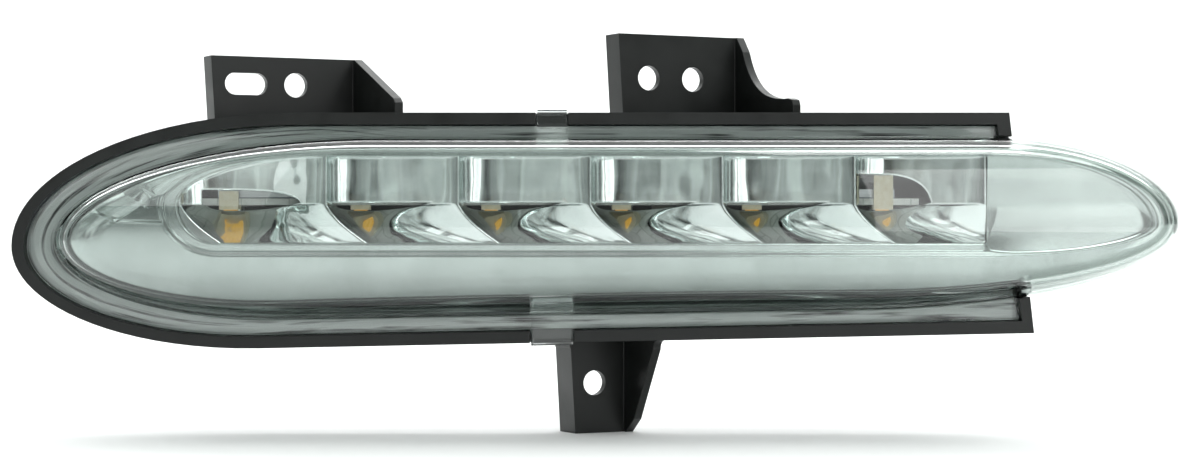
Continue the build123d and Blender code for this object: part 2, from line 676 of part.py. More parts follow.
def spear(grow=0.0):
    """Outline of the pocket that runs from the window to the right tip."""
    top = (WINDOW_RIGHT, WINDOW_TOP + LEDGE_ABOVE + grow)
    bottom = (WINDOW_RIGHT, WINDOW_BOTTOM - LEDGE_BELOW - grow)
    tip = (SPEAR_TIP_X + grow, LENS_RIGHT_Z)
    return make_face(
        [
            quarter(top, (tip[0], top[1]), tip),
            quarter(tip, (tip[0], bottom[1]), bottom),
            Line(bottom, top),
        ]
    )


def valley():
    """Space above three facets beside the window: two that lean in and a narrow one between them."""
    front = WALL_FRONT
    high = WINDOW_TOP + 2 * SPEAR_DEPTH
    low = WINDOW_BOTTOM - LEDGE_BELOW - SPEAR_DEPTH
    start = [
        (front, high),
        (MIRROR_FRONT - SPEAR_DEPTH, high),
        (MIRROR_FRONT, FACET_TOP_Z),
        (MIRROR_FRONT, FACET_LOW_Z),
        (MIRROR_FRONT - SPEAR_DEPTH, low),
        (front, low),
    ]
    tip_z = LENS_RIGHT_Z + WINDOW_TOP_MARGIN
    shallow = MIRROR_FRONT - SPEAR_DEPTH / 6
    end = [
        (front, tip_z + FACET_TOP_Z),
        (shallow, tip_z + FACET_TOP_Z),
        (MIRROR_FRONT, FACET_TOP_Z),
        (MIRROR_FRONT, FACET_TOP_Z - FACET_END),
        (shallow, -tip_z - FACET_TOP_Z),
        (front, -tip_z - FACET_TOP_Z),
    ]
    faces = []
    for x, points in ((WINDOW_RIGHT - 1.0, start), (SPEAR_TIP_X + SPEAR_DEPTH, end)):
        faces.append(Pos(x, 0, 0) * (Plane.YZ * Polygon(*points, align=None)))
    return loft(faces, ruled=True)


def wedge_pocket(sink):
    """Pointed pocket to the left of the window, deepest at its right end."""
    right = WINDOW_LEFT - LEDGE_LEFT + 1.0
    tip = right - WEDGE_LENGTH
    low = BOARD_Z - 4.4
    outline = Polygon((tip, low + 0.6), (right, low), (right, low + WEDGE_HEIGHT), align=None)
    surface = BEZEL_FRONT - LENS_HEIGHT + bow_drop(tip)
    floor_end = BEZEL_FRONT - LENS_HEIGHT + bow_drop(right) + WEDGE_DEPTH
    side = Polygon(
        (tip - 9.0, surface - 0.9 + sink),
        (right + 6.0, floor_end + 0.4 + sink),
        (right + 6.0, WALL_FRONT - 4.0),
        (tip - 9.0, WALL_FRONT - 4.0),
        align=None,
    )
    below = extrude(Pos(0, 0, low - 6.0) * side, amount=WEDGE_HEIGHT + 12.0, dir=(0, 0, 1))
    return outline, below


def bow_drop(x):
    """How far the bowed front falls back at x."""
    return CROWN_PLAN_RADIUS - math.sqrt(CROWN_PLAN_RADIUS**2 - x**2)


def bezel_supports():
    """Thick places behind the bezel's skin: ledge, collar, spear floor, screw posts, end rib and wedge."""
    behind_ledge = crown(BEZEL_FRONT + BEZEL_THICKNESS + LEDGE_STEP)
    supports = [prism(ledge(1.0), WALL_FRONT, MIRROR_FRONT) - behind_ledge]
    supports.append(prism(window(COLLAR_THICKNESS), WALL_FRONT, MIRROR_FRONT))
    supports.append(prism(spear(1.4), WALL_FRONT, MIRROR_FRONT + BEZEL_THICKNESS))
    for x in TOWERS_X:
        supports.append(rod(x, TOWER_Z, POST_DIAMETER, WALL_FRONT, MIRROR_FRONT))
    strip = left_of_end(0) - left_of_end(HOUSING_WALL)
    rib = prism(leaf(0), WALL_FRONT, END_WALL_FRONT - SEALANT_THICKNESS)
    supports.append(rib & strip)
    outline, above = wedge_pocket(BEZEL_THICKNESS)
    supports.append(prism(outline, WALL_FRONT, 0) & above)
    return supports


def front_bezel():
    """Silvered cover around the mirror window, with a stepped ledge and pointed pockets."""
    inset = BEZEL_INSET + BEZEL_THICKNESS
    body = dome(BEZEL_INSET, BEZEL_FRONT) + prism(leaf(BEZEL_INSET), 0, BEZEL_SEAT)
    hollow = dome(inset, BEZEL_FRONT + BEZEL_THICKNESS) + prism(leaf(inset), 0, BEZEL_SEAT)
    for support in bezel_supports():
        hollow -= support
    body -= hollow
    for grow, step in ((0.0, LEDGE_STEP / 2), (-LEDGE_TREAD, LEDGE_STEP)):
        body -= prism(ledge(grow), WALL_FRONT, MIRROR_FRONT) - crown(BEZEL_FRONT + step)
    body -= prism(spear(), WALL_FRONT, 0) & valley()
    outline, above = wedge_pocket(0)
    body -= prism(outline, WALL_FRONT, 0) & above
    body -= prism(window(0, 0), WALL_FRONT, BEZEL_SEAT)
    body -= prism(mirror_flange(MIRROR_CLEARANCE), MIRROR_FRONT, BEZEL_SEAT)
    beyond = prism(leaf(-1.0), END_WALL_FRONT - SEALANT_THICKNESS, BEZEL_SEAT + 1.0)
    body -= beyond - left_of_end(HOUSING_WALL + BEZEL_SEAT_CLEARANCE)
    for x in TOWERS_X:
        body -= rod(x, TOWER_Z, SCREW_DIAMETER, MIRROR_FRONT - SCREW_REACH - 0.2, MIRROR_FRONT + 1.0)
    return body


def cell_plan(left, width, front, depth, deepest):
    """Plan of one scoop: steep left wall, deepest by the LED, then a ramp that rolls over."""
    ramp = 0.8 * width
    share = 0.37
    rest = 1.0 - share
    peak = 4 * share * rest**3 + 6 * share**2 * rest**2
    reach = 4 * share**3 * rest * ramp + share**4 * width
    lean = max(0.0, (deepest - reach) / (6 * share**2 * rest**2))
    floor = front + depth / peak
    right = left + width
    curve = Bezier((left, front), (left, floor), (left + lean, floor), (left + ramp, front), (right, front))
    return make_face([curve, Line((right, front), (left, front))])


def scoop(index, wall):
    """Space swept in front of one cell's mirror, grown by the wall. The first reaches into the nose."""
    extra = WINDOW_LEFT_MARGIN - LED_LEFT_OF_CELL if index == 0 else 0.0
    left = LED_FIRST_X - LED_LEFT_OF_CELL + index * LED_PITCH + RIDGE_WIDTH / 2 - extra - wall
    width = LED_PITCH - RIDGE_WIDTH + extra + 2 * wall
    deepest = LED_LEFT_OF_CELL - RIDGE_WIDTH / 2 + extra + wall
    upper_plan = cell_plan(left, width, MIRROR_FRONT, UPPER_DEPTH + wall, deepest)
    upper = extrude(Pos(0, 0, BOARD_Z) * upper_plan, amount=WINDOW_HEIGHT, dir=(0, 0, 1))
    drop = BOARD_Z - WINDOW_BOTTOM + 0.5
    faces = []
    for share in (0.0, 0.35, 0.7, 1.0):
        depth = LOWER_LIP_DEPTH + (LOWER_DEPTH - LOWER_LIP_DEPTH) * (1 - share**2) + wall
        sweep = RIDGE_SWEEP * share**1.4
        plan = cell_plan(left, width, MIRROR_FRONT, depth, deepest - sweep)
        faces.append(Pos(sweep, 0, BOARD_Z - share * drop) * plan)
    return upper, loft(faces)


def mirror_flange(grow):
    """Outline of the flange around the mirror cells, kept inside the walls of the bezel."""
    room = leaf(BEZEL_INSET + BEZEL_THICKNESS + MIRROR_CLEARANCE - grow, -MIRROR_FRONT)
    return window(MIRROR_FLANGE_WIDTH + grow, 0) & room


def slot_rise(index):
    """How far the slot by one LED reaches above the board: taller in the first and the last cell."""
    if index == 0:
        return FIRST_SLOT_RISE
    return LAST_SLOT_RISE if index == LED_COUNT - 1 else SLOT_RISE


def led_slot(index):
    """Opening by one LED: its lower edge sags under the LED, and both edges meet in a point on the right."""
    length = LAST_SLOT_LENGTH if index == LED_COUNT - 1 else LED_SLOT_LENGTH
    left = LED_FIRST_X - LED_LEFT_OF_CELL + index * LED_PITCH + SLOT_MARGIN
    top = BOARD_Z + slot_rise(index)
    sag = BOARD_Z - SLOT_SAG / 0.75
    tip = (left + length, BOARD_Z + SLOT_RISE)
    lower = Bezier((left, BOARD_Z), (left, sag), (left + length / 2, sag), tip)
    upper = Bezier(tip, (left + 0.9 * length, top), (left + length / 2, top), (left, top))
    back = MIRROR_FRONT + LOWER_DEPTH + MIRROR_WALL
    return prism(make_face([lower, upper, Line((left, top), (left, BOARD_Z))]), MIRROR_FRONT - 1.0, back)


def reflector():
    """Row of mirror cells in one moulding, with a flange, screw lugs and posts for the board."""
    room = leaf(BEZEL_INSET + BEZEL_THICKNESS + MIRROR_CLEARANCE, -MIRROR_FRONT)
    outside = prism(window(MIRROR_WALL, 0) & room, MIRROR_FRONT, BOARD_BACK)
    opening = prism(window(0, 0), MIRROR_FRONT - 1.0, BOARD_BACK)
    shell = []
    space = []
    for i in range(LED_COUNT):
        shell += list(scoop(i, MIRROR_WALL))
        space += list(scoop(i, 0))
    body = outside & (Part() + shell)
    body += prism(window(0, 0), MIRROR_FRONT, LUG_BACK)
    body += prism(mirror_flange(0) - window(-0.5, -0.5), MIRROR_FRONT, LUG_BACK)
    for x in TOWERS_X:
        lug = Pos(x, (TOWER_Z + WINDOW_BOTTOM) / 2) * Rectangle(LUG_DIAMETER, WINDOW_BOTTOM - TOWER_Z)
        body += prism(lug + Pos(x, TOWER_Z) * Circle(LUG_DIAMETER / 2), MIRROR_FRONT, LUG_BACK)
    foot = BOARD_HOLE_END - POST_FLOOR
    for post in board_pins(BOARD_POST_DIAMETER, foot, BOARD_Z):
        body += post
    for x in board_screw_places():
        rib_top = BOARD_Z - SLOT_SAG - MIRROR_CLEARANCE
        body += box(x - POST_RIB / 2, x + POST_RIB / 2, BOARD_FRONT, BOARD_SCREW_Y, foot, rib_top)
    body -= [hollow & opening for hollow in space]
    body -= [led_slot(i) for i in range(LED_COUNT)]
    for x in TOWERS_X:
        body -= rod(x, TOWER_Z, SCREW_HOLE, MIRROR_FRONT - 1.0, LUG_BACK + 1.0)
    body -= board_pins(BOARD_SCREW_DIAMETER, BOARD_HOLE_END, BOARD_Z + 1.0)
    return body.solids().sort_by(SortBy.VOLUME)[-1]


def board_screw_places():
    """Places of the board's four screws: under both end LEDs and beside the middle."""
    middle = (LED_COUNT - 1) // 2
    return [LED_FIRST_X + i * LED_PITCH for i in (0, middle, middle + 1, LED_COUNT - 1)]


def board_pins(diameter, bottom, top):
    """Upright rods at the board's screws."""
    pin = Cylinder(diameter / 2, top - bottom, align=(Align.CENTER, Align.CENTER, Align.MIN))
    return [Pos(x, BOARD_SCREW_Y, bottom) * pin for x in board_screw_places()]


def led_board():
    """Long board that carries the LEDs on its underside."""
    left = LED_FIRST_X - BOARD_END_MARGIN
    right = LED_LAST_X + BOARD_END_MARGIN
    board = box(left, right, BOARD_FRONT, BOARD_BACK, BOARD_Z, BOARD_TOP)
    return board - board_pins(BOARD_SCREW_DIAMETER, BOARD_Z - 1.0, BOARD_TOP + 1.0)


def thermal_pad():
    """Soft sheet between the board and the heat sink."""
    left = LED_FIRST_X - SINK_END_MARGIN
    right = LED_LAST_X + SINK_END_MARGIN
    pad = box(left, right, BOARD_FRONT + PAD_SETBACK, BOARD_BACK, BOARD_TOP, SINK_Z)
    return pad - board_pins(BOARD_SCREW_DIAMETER, BOARD_TOP - 1.0, SINK_Z + 1.0)


def heat_sink():
    """Bent aluminium sheet on top of the board, with an upright edge at the back."""
    left = LED_FIRST_X - SINK_END_MARGIN
    right = LED_LAST_X + SINK_END_MARGIN
    profile = Polyline(
        (BOARD_FRONT + PAD_SETBACK, SINK_Z),
        (SINK_BACK, SINK_Z),
        (SINK_BACK, SINK_TOP + SINK_UPRIGHT),
        (SINK_BACK - SINK_THICKNESS, SINK_TOP + SINK_UPRIGHT),
        (SINK_BACK - SINK_THICKNESS, SINK_TOP),
        (BOARD_FRONT + PAD_SETBACK, SINK_TOP),
        close=True,
    )
    bend = extrude(Plane.YZ * make_face(profile), amount=right - left, dir=(1, 0, 0))
    sheet = Pos(left, 0, 0) * bend
    return sheet - board_pins(BOARD_SCREW_DIAMETER, SINK_Z - 1.0, SINK_TOP + 1.0)


def led_places():
    """Place of each LED along the board."""
    return [LED_FIRST_X + i * LED_PITCH for i in range(LED_COUNT)]


def led_packages():
    """LED bodies under the board; the first and the last also stand up in front of its edge."""
    bodies = []
    low = BOARD_Z - LED_HEIGHT
    for i, x in enumerate(led_places()):
        left = x - LED_WIDTH / 2
        right = x + LED_WIDTH / 2
        front = LED_Y - LED_DEPTH / 2
        face_top = BOARD_Z + slot_rise(i) - LED_FACE_CLEARANCE
        body = box(left, right, front, front + LED_DEPTH, low, BOARD_Z)
        if i in (0, LED_COUNT - 1):
            body += box(left, right, BOARD_FRONT - LED_FACE, LED_Y, low, BOARD_Z)
            body += box(left, right, BOARD_FRONT - LED_FACE, BOARD_FRONT, low, face_top)
        bodies.append(body)
    return bodies


def led_phosphors():
    """Yellow light-giving faces of the LEDs."""
    faces = []
    for x in led_places():
        middle = BOARD_Z - LED_HEIGHT - PHOSPHOR_PROUD / 2
        faces.append(Pos(x, LED_Y, middle) * Box(PHOSPHOR_WIDTH, PHOSPHOR_DEPTH, PHOSPHOR_PROUD))
    return faces


def board_screws():
    """Screws that clamp heat sink and board to the posts of the mirror moulding."""
    end = SINK_TOP + BOARD_HEAD_HEIGHT
    shanks = board_pins(BOARD_SCREW_DIAMETER, SINK_TOP - BOARD_SCREW_LENGTH, SINK_TOP)
    heads = board_pins(2 * BOARD_SCREW_DIAMETER, SINK_TOP, end)
    screws = []
    for shank, head in zip(shanks, heads):
        place = Pos(head.center().X, BOARD_SCREW_Y, end - CROSS_DEPTH / 2)
        cross = Box(CROSS_WIDTH, CROSS_LENGTH, CROSS_DEPTH) + Box(CROSS_LENGTH, CROSS_WIDTH, CROSS_DEPTH)
        screws.append(shank + head - place * cross)
    return screws


def back_screws():
    """Screws in the towers at the back."""
    screws = []
    for x in TOWERS_X:
        seat = HEAD_SEAT + WASHER_THICKNESS
        screw = rod(x, TOWER_Z, SCREW_DIAMETER, MIRROR_FRONT - SCREW_REACH, seat + 0.5)
        screw += rod(x, TOWER_Z, HEAD_DIAMETER, seat, seat + HEAD_HEIGHT)
        cross = Rectangle(CROSS_WIDTH, CROSS_LENGTH) + Rectangle(CROSS_LENGTH, CROSS_WIDTH)
        end = seat + HEAD_HEIGHT
        screw -= prism(Pos(x, TOWER_Z) * cross, end - CROSS_DEPTH, end + 1.0)
        screws.append(screw)
    return screws


def screw_seals():
    """Rubber washers under the heads of the back screws."""
    seals = []
    for x in TOWERS_X:
        ring = rod(x, TOWER_Z, TOWER_BORE - 2 * SEAL_CLEARANCE, HEAD_SEAT, HEAD_SEAT + WASHER_THICKNESS)
        seals.append(ring - rod(x, TOWER_Z, SCREW_DIAMETER, HEAD_SEAT - 1.0, HEAD_SEAT + 2.0))
    return seals


def socket_terminals():
    """Flat blades that pass from the socket into the housing."""
    blades = []
    for x in blade_places():
        front = HOUSING_DEPTH - HOUSING_WALL - BLADE_IN
        blade = prism(blade_sketch(x), front, SOCKET_FLOOR + BLADE_OUT)
        blades.append(blade)
    return blades


def board_header():
    """Small connector under the board where the leads plug in."""
    half = BLADE_PITCH + HEADER_END
    front = BOARD_BACK - HEADER_DEPTH
    low = BOARD_Z - HEADER_HEIGHT
    return box(SOCKET_X - half, SOCKET_X + half, front, BOARD_BACK, low, BOARD_Z)


def lead_wires():
    """Leads from the blades to the header on the board."""
    wires = []
    start_y = HOUSING_DEPTH - HOUSING_WALL - BLADE_IN
    header_z = BOARD_Z - HEADER_HEIGHT / 2
    middle = (start_y + BOARD_BACK) / 2
    for x in blade_places():
        path = FilletPolyline(
            (x, start_y, SOCKET_Z),
            (x, middle, SOCKET_Z),
            (x, middle, header_z),
            (x, BOARD_BACK, header_z),
            radius=abs(header_z - SOCKET_Z) / 2.2,
        )
        section = Plane(origin=(x, start_y, SOCKET_Z), z_dir=(0, -1, 0)) * Circle(WIRE_DIAMETER / 2)
        wires.append(sweep(section, path=path))
    return wires


def part_under_board(x, size):
    """Block that hangs from the board's underside by its back edge."""
    width, depth, height = size
    return Pos(x, BOARD_BACK - PART_EDGE - depth / 2, BOARD_Z - height / 2) * Box(width, depth, height)


def between_cells(index):
    """Middle of the free stretch of board to the right of one LED."""
    return LED_FIRST_X + (index + 0.55) * LED_PITCH


def driver_chip():
    """Driver circuit under the board."""
    return part_under_board(between_cells(1), CHIP_SIZE)


def protection_diode():
    """Diode that guards against reversed leads."""
    return part_under_board(between_cells(4), DIODE_SIZE)


def power_resistors():
    """Pair of flat resistors beside the driver."""
    x = between_cells(2)
    return [part_under_board(x + side * RESISTOR_PITCH / 2, RESISTOR_SIZE) for side in (-1, 1)]


def input_capacitor():
    """Round capacitor under the board."""
    place = Pos(between_cells(0), BOARD_BACK - PART_EDGE - CAPACITOR_DIAMETER / 2, BOARD_Z)
    can = Cylinder(CAPACITOR_DIAMETER / 2, CAPACITOR_HEIGHT, align=(Align.CENTER, Align.CENTER, Align.MAX))
    return place * can


def vent_cap():
    """Rubber cap pushed over the vent spigot, with a slot for the air."""
    inside = VENT_END + MEMBRANE_THICKNESS
    cap = rod(VENT_X, VENT_Z, CAP_DIAMETER, HOUSING_DEPTH + CAP_GAP, VENT_END + CAP_TOP)
    cap = fillet(cap.edges().group_by(Axis.Y)[-1], CAP_ROUNDING)
    cap -= rod(VENT_X, VENT_Z, VENT_DIAMETER, HOUSING_DEPTH, inside)
    slot = Rectangle(2 * CAP_DIAMETER, CAP_SLOT)
    return cap - prism(Pos(VENT_X, VENT_Z) * slot, inside - 2 * CAP_SLOT, inside)


def vent_membrane():
    """Thin disc that lets air but no water through the vent."""
    disc = VENT_DIAMETER - 2 * SEAL_CLEARANCE
    return rod(VENT_X, VENT_Z, disc, VENT_END, VENT_END + MEMBRANE_THICKNESS)


PIECES = {
    "housing": housing,
    "outer_lens": outer_lens,
    "lens_sealant": lens_sealant,
    "end_sealant": end_sealant,
    "front_bezel": front_bezel,
    "reflector": reflector,
    "led_board": led_board,
    "led_packages": led_packages,
    "led_phosphors": led_phosphors,
    "thermal_pad": thermal_pad,
    "heat_sink": heat_sink,
    "board_screws": board_screws,
    "back_screws": back_screws,
    "screw_seals": screw_seals,
    "socket_terminals": socket_terminals,
    "board_header": board_header,
    "lead_wires": lead_wires,
    "driver_chip": driver_chip,
    "protection_diode": protection_diode,
    "power_resistors": power_resistors,
    "input_capacitor": input_capacitor,
    "vent_cap": vent_cap,
    "vent_membrane": vent_membrane,
}

os.makedirs("parts", exist_ok=True)
for name, make in PIECES.items():
    shape = make()
    if isinstance(shape, list):
        shape = Compound(children=shape)
    export_step(shape, "parts/" + name + ".step")
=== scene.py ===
# %% [markdown]
# A daytime running light sits low in the corner of a car's bumper. The construction
# model is already packed, so this lesson starts by loading it as a fixed frame in metres:
# X along the lamp, Y back into the car, Z up. Shapes below are worked out in millimetres
# in that same frame and scaled once. The box of the bare model is kept.

# %% Load the frame
import math

import bmesh
import bpy
import numpy as np
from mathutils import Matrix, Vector


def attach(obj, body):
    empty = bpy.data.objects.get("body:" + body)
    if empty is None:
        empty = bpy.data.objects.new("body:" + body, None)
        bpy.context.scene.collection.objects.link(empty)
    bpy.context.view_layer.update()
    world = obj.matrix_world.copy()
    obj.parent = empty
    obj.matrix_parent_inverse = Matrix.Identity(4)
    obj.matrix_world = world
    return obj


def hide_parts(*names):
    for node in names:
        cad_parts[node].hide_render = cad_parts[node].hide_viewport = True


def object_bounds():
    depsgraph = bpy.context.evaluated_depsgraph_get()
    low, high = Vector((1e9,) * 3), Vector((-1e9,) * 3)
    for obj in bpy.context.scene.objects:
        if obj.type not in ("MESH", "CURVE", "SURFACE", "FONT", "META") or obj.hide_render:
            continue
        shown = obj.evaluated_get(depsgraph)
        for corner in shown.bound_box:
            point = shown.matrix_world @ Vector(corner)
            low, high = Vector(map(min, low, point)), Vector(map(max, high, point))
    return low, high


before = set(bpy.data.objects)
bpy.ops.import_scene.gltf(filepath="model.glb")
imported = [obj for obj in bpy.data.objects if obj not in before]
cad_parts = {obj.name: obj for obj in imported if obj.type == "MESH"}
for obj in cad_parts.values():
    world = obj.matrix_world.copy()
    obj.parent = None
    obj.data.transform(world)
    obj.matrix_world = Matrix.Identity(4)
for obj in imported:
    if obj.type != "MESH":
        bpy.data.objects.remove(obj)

CAD_BOX = [list(corner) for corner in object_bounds()]
MM = 0.001
print("nodes", len(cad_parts), "box", CAD_BOX)

# %% [markdown]
# Colours are easiest to compare with a photograph as sRGB hex codes, but shaders work
# in linear light. One function does that step. A second one adds a shader node, sets
# its values and joins it to what comes before, so each finish below reads as a recipe.


# %% Colour and node helpers
def shade(code):
    """Linear colour of an sRGB hex code: c / 12.92 in the darks, ((c + 0.055) / 1.055) ^ 2.4
    above."""
    srgb = np.array([int(code[i : i + 2], 16) for i in (1, 3, 5)]) / 255.0
    linear = np.where(srgb <= 0.04045, srgb / 12.92, ((srgb + 0.055) / 1.055) ** 2.4)
    return (*linear.tolist(), 1.0)


def add(tree, kind, sockets=None, links=None, stops=None, **settings):
    """Adds one node: settings are its properties, sockets its values, links its inputs, and
    stops the positions and colours of its ramp."""
    made = tree.nodes.new(kind)
    for key, value in settings.items():
        setattr(made, key, value)
    for key, value in (sockets or {}).items():
        made.inputs[key].default_value = value
    for key, output in (links or {}).items():
        tree.links.new(output, made.inputs[key])
    if stops:
        for stop, (position, colour) in zip(made.color_ramp.elements, stops):
            stop.position = position
            stop.color = shade(colour)
    return made


def per_metre(millimetres):
    """Pattern scale for a feature of that many millimetres."""
    return 1.0 / (millimetres * MM)


print("features of one millimetre have scale", per_metre(1.0))

# %% [markdown]
# Most surfaces here share one idea. A mottle decides where the colour is a little
# darker or lighter and where the gloss changes, and a finer grain bends the light.
# The mottle can be stretched along an axis, as rolled metal or a pressed bead is. Each
# finish gives its own two colours, sizes and gloss, and may hang more nodes on it.

# %% Starting a finish
NOISE_LOW, NOISE_HIGH = 0.3, 0.7


def start_finish(
    name, dark, light, size, gloss, relief=(), stretch=(1.0, 1.0, 1.0), follows="", **values
):
    """Mottle of a size in mm between two colours and two roughnesses. Relief is a finer grain
    of (size mm, height mm, strength), and follows names an attribute that both are laid on."""
    material = bpy.data.materials.new(name)
    material.use_nodes = True
    tree = material.node_tree
    shader = tree.nodes["Principled BSDF"]
    for key, value in values.items():
        shader.inputs[key.replace("_", " ")].default_value = value
    if follows:
        place = add(tree, "ShaderNodeAttribute", attribute_name=follows).outputs["Vector"]
    else:
        place = add(tree, "ShaderNodeTexCoord").outputs["Object"]
    spread = add(tree, "ShaderNodeMapping", {"Scale": stretch}, {"Vector": place}).outputs["Vector"]
    mottle = add(
        tree, "ShaderNodeTexNoise", {"Scale": per_metre(size), "Detail": 3.0}, {"Vector": spread}
    ).outputs["Fac"]
    tint = add(
        tree,
        "ShaderNodeValToRGB",
        links={"Fac": mottle},
        stops=[(NOISE_LOW, dark), (NOISE_HIGH, light)],
    )
    polish = add(
        tree,
        "ShaderNodeMapRange",
        {"From Min": NOISE_LOW, "From Max": NOISE_HIGH, "To Min": gloss[0], "To Max": gloss[1]},
        {"Value": mottle},
    )
    tree.links.new(tint.outputs["Color"], shader.inputs["Base Color"])
    tree.links.new(polish.outputs["Result"], shader.inputs["Roughness"])
    if relief:
        fine, rise, strength = relief
        grain = add(
            tree,
            "ShaderNodeTexNoise",
            {"Scale": per_metre(fine), "Detail": 1.0},
            {"Vector": spread},
        )
        bump = add(
            tree,
            "ShaderNodeBump",
            {"Strength": strength, "Distance": rise * MM},
            {"Height": grain.outputs["Fac"]},
        )
        tree.links.new(bump.outputs["Normal"], shader.inputs["Normal"])
    return material, tree, shader, place


def dress(material, *nodes):
    """Gives carried-over nodes a finish and says so."""
    for name in nodes:
        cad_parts[name].material_slots[0].material = material
    print(material.name, "on", ", ".join(nodes))


# %% [markdown]
# The housing is injection-moulded black polypropylene. It is never one flat black: the
# melt leaves a faint mottle and the tool a fine grain that softens reflections. The grain
# is near 0.2 mm and is drawn at 0.5 mm so that it shows. A real moulding has no knife
# edges either, so a Bevel node rounds the normal by 0.4 mm along every edge.

# %% Black moulded plastic
TOOL_GRAIN, TOOL_EDGE = 0.5, 0.4
black_plastic, tree, shader, place = start_finish(
    "black_polypropylene_moulded",
    "#060807",
    "#101312",
    9.0,
    (0.3, 0.44),
    IOR=1.49,
    Specular_IOR_Level=0.42,
)
grain = add(
    tree, "ShaderNodeTexNoise", {"Scale": per_metre(TOOL_GRAIN), "Detail": 1.0}, {"Vector": place}
)
rounded = add(tree, "ShaderNodeBevel", {"Radius": TOOL_EDGE * MM}, samples=6)
relief = add(
    tree,
    "ShaderNodeBump",
    {"Strength": 0.1, "Distance": 0.05 * MM},
    {"Height": grain.outputs["Fac"], "Normal": rounded.outputs["Normal"]},
)
tree.links.new(relief.outputs["Normal"], shader.inputs["Normal"])
dress(black_plastic, "housing")

# %% [markdown]
# The cover over the lamp is one clear moulding: a long dome shaped like a leaf, with a
# flat flange that sits in the rim and two stubs where the plastic was fed into the mould.
# A grid modelled by hand would need many cuts for that outline. Here the outline is a
# function: two straight runs joined by four quarters of an ellipse. It is written once
# with its foot, its inset and its height, so that every ring of the cover comes from it.

# %% Outline of the cover
TOP_Z, LOW_LEFT_Z, LOW_RIGHT_Z = 21.4, -24.4, -22.0
LEFT_TIP, RIGHT_TIP = (-136.5, -4.5), (145.0, -0.3)
UPPER_RUN, LOWER_RUN = (-54.5, 95.0), (-78.5, 65.0)
LEAN_TOP, LEAN_LOW, LEAN_TIP = 0.10, 0.42, 0.33
QUARTER_HANDLE = 0.5523


def quarter(start, corner, end, share):
    """Quarter of an ellipse as a cubic Bezier: its two middle points lie 0.5523 of the way
    from its ends to the corner."""
    start, corner, end = (np.array(point, float) for point in (start, corner, end))
    share = np.asarray(share)[:, None]
    rest = 1.0 - share
    near_start = start + QUARTER_HANDLE * (corner - start)
    near_end = end + QUARTER_HANDLE * (corner - end)
    return (
        rest**3 * start
        + 3 * rest**2 * share * near_start
        + 3 * rest * share**2 * near_end
        + share**3 * end
    )


def run(start, end, along):
    """Straight run between two points, at the given places along X."""
    share = (along - start[0]) / (end[0] - start[0])
    return np.stack([along, start[1] + share * (end[1] - start[1])], axis=1)


def leaf(inset, height, stations):
    """Closed loop of the cover in mm: upper edge from the left tip to the right, then the lower
    edge back. It shrinks by the inset, and by the lean of the walls times the height."""
    top = TOP_Z - inset - LEAN_TOP * height
    low_left = LOW_LEFT_Z + inset + LEAN_LOW * height
    low_right = LOW_RIGHT_Z + inset + LEAN_LOW * height
    left = (LEFT_TIP[0] + inset + LEAN_TIP * height, LEFT_TIP[1])
    right = (RIGHT_TIP[0] - inset - LEAN_TIP * height, RIGHT_TIP[1])
    slope = (low_right - low_left) / (LOWER_RUN[1] - LOWER_RUN[0])
    corner_left = (left[0], low_left - slope * (LOWER_RUN[0] - left[0]))
    corner_right = (right[0], low_right + slope * (right[0] - LOWER_RUN[1]))
    nose, upper_run, upper_end, lower_run, lower_end = stations
    upper_ends = (UPPER_RUN[0], top), (UPPER_RUN[1], top)
    lower_ends = (LOWER_RUN[0], low_left), (LOWER_RUN[1], low_right)
    upper = [
        quarter(left, (left[0], top), upper_ends[0], nose),
        run(*upper_ends, upper_run),
        quarter(upper_ends[1], (right[0], top), right, upper_end),
    ]
    lower = [
        quarter(left, corner_left, lower_ends[0], nose),
        run(*lower_ends, lower_run),
        quarter(lower_ends[1], corner_right, right, lower_end),
    ]
    return np.concatenate([np.concatenate(upper), np.concatenate(lower)[-2:0:-1]])


print("cover from", LEFT_TIP, "to", RIGHT_TIP)

# %% [markdown]
# All rings need their points at the same stations, or they couldn't be joined. The
# stations are spread evenly along each stretch. Where the outline of the flange jumps, at
# the sides of the stubs and at the end of the rim, two stations stand close together, so
# that the jump becomes a short clean wall.

# %% Stations round the cover
RIM_END = (98.7, 104.9)
TAB_X = -12.0
TAB_HALF = (3.75, 5.25)
NOSE_COUNT, RUN_COUNT, END_COUNT = 150, 110, 88
MARK_GAP = 0.02


def with_marks(start, end, count, marks):
    """Even places from start to end without both ends, with two close together at each mark."""
    even = np.linspace(start, end, count + 2)[1:-1]
    pairs = np.array([mark + side for mark in marks for side in (-MARK_GAP, MARK_GAP)])
    return np.sort(np.concatenate([even, pairs]))


def bezier_share(start, end, place):
    """Share of a quarter that leaves along X, at which X is the given place."""
    share = np.linspace(0.0, 1.0, 2000)
    x = quarter((start, 0.0), (end, 0.0), (end, 1.0), share)[:, 0]
    return float(np.interp(place, x, share))


def side_stations(ends, tab_half, rim_end):
    """Stations along a straight run and then along the quarter from its end to the right tip."""
    rim_share = bezier_share(ends[1], RIGHT_TIP[0], rim_end)
    straight = with_marks(*ends, RUN_COUNT, [TAB_X - tab_half, TAB_X + tab_half])
    return straight, np.append(with_marks(0.0, 1.0, END_COUNT, [rim_share]), 1.0)


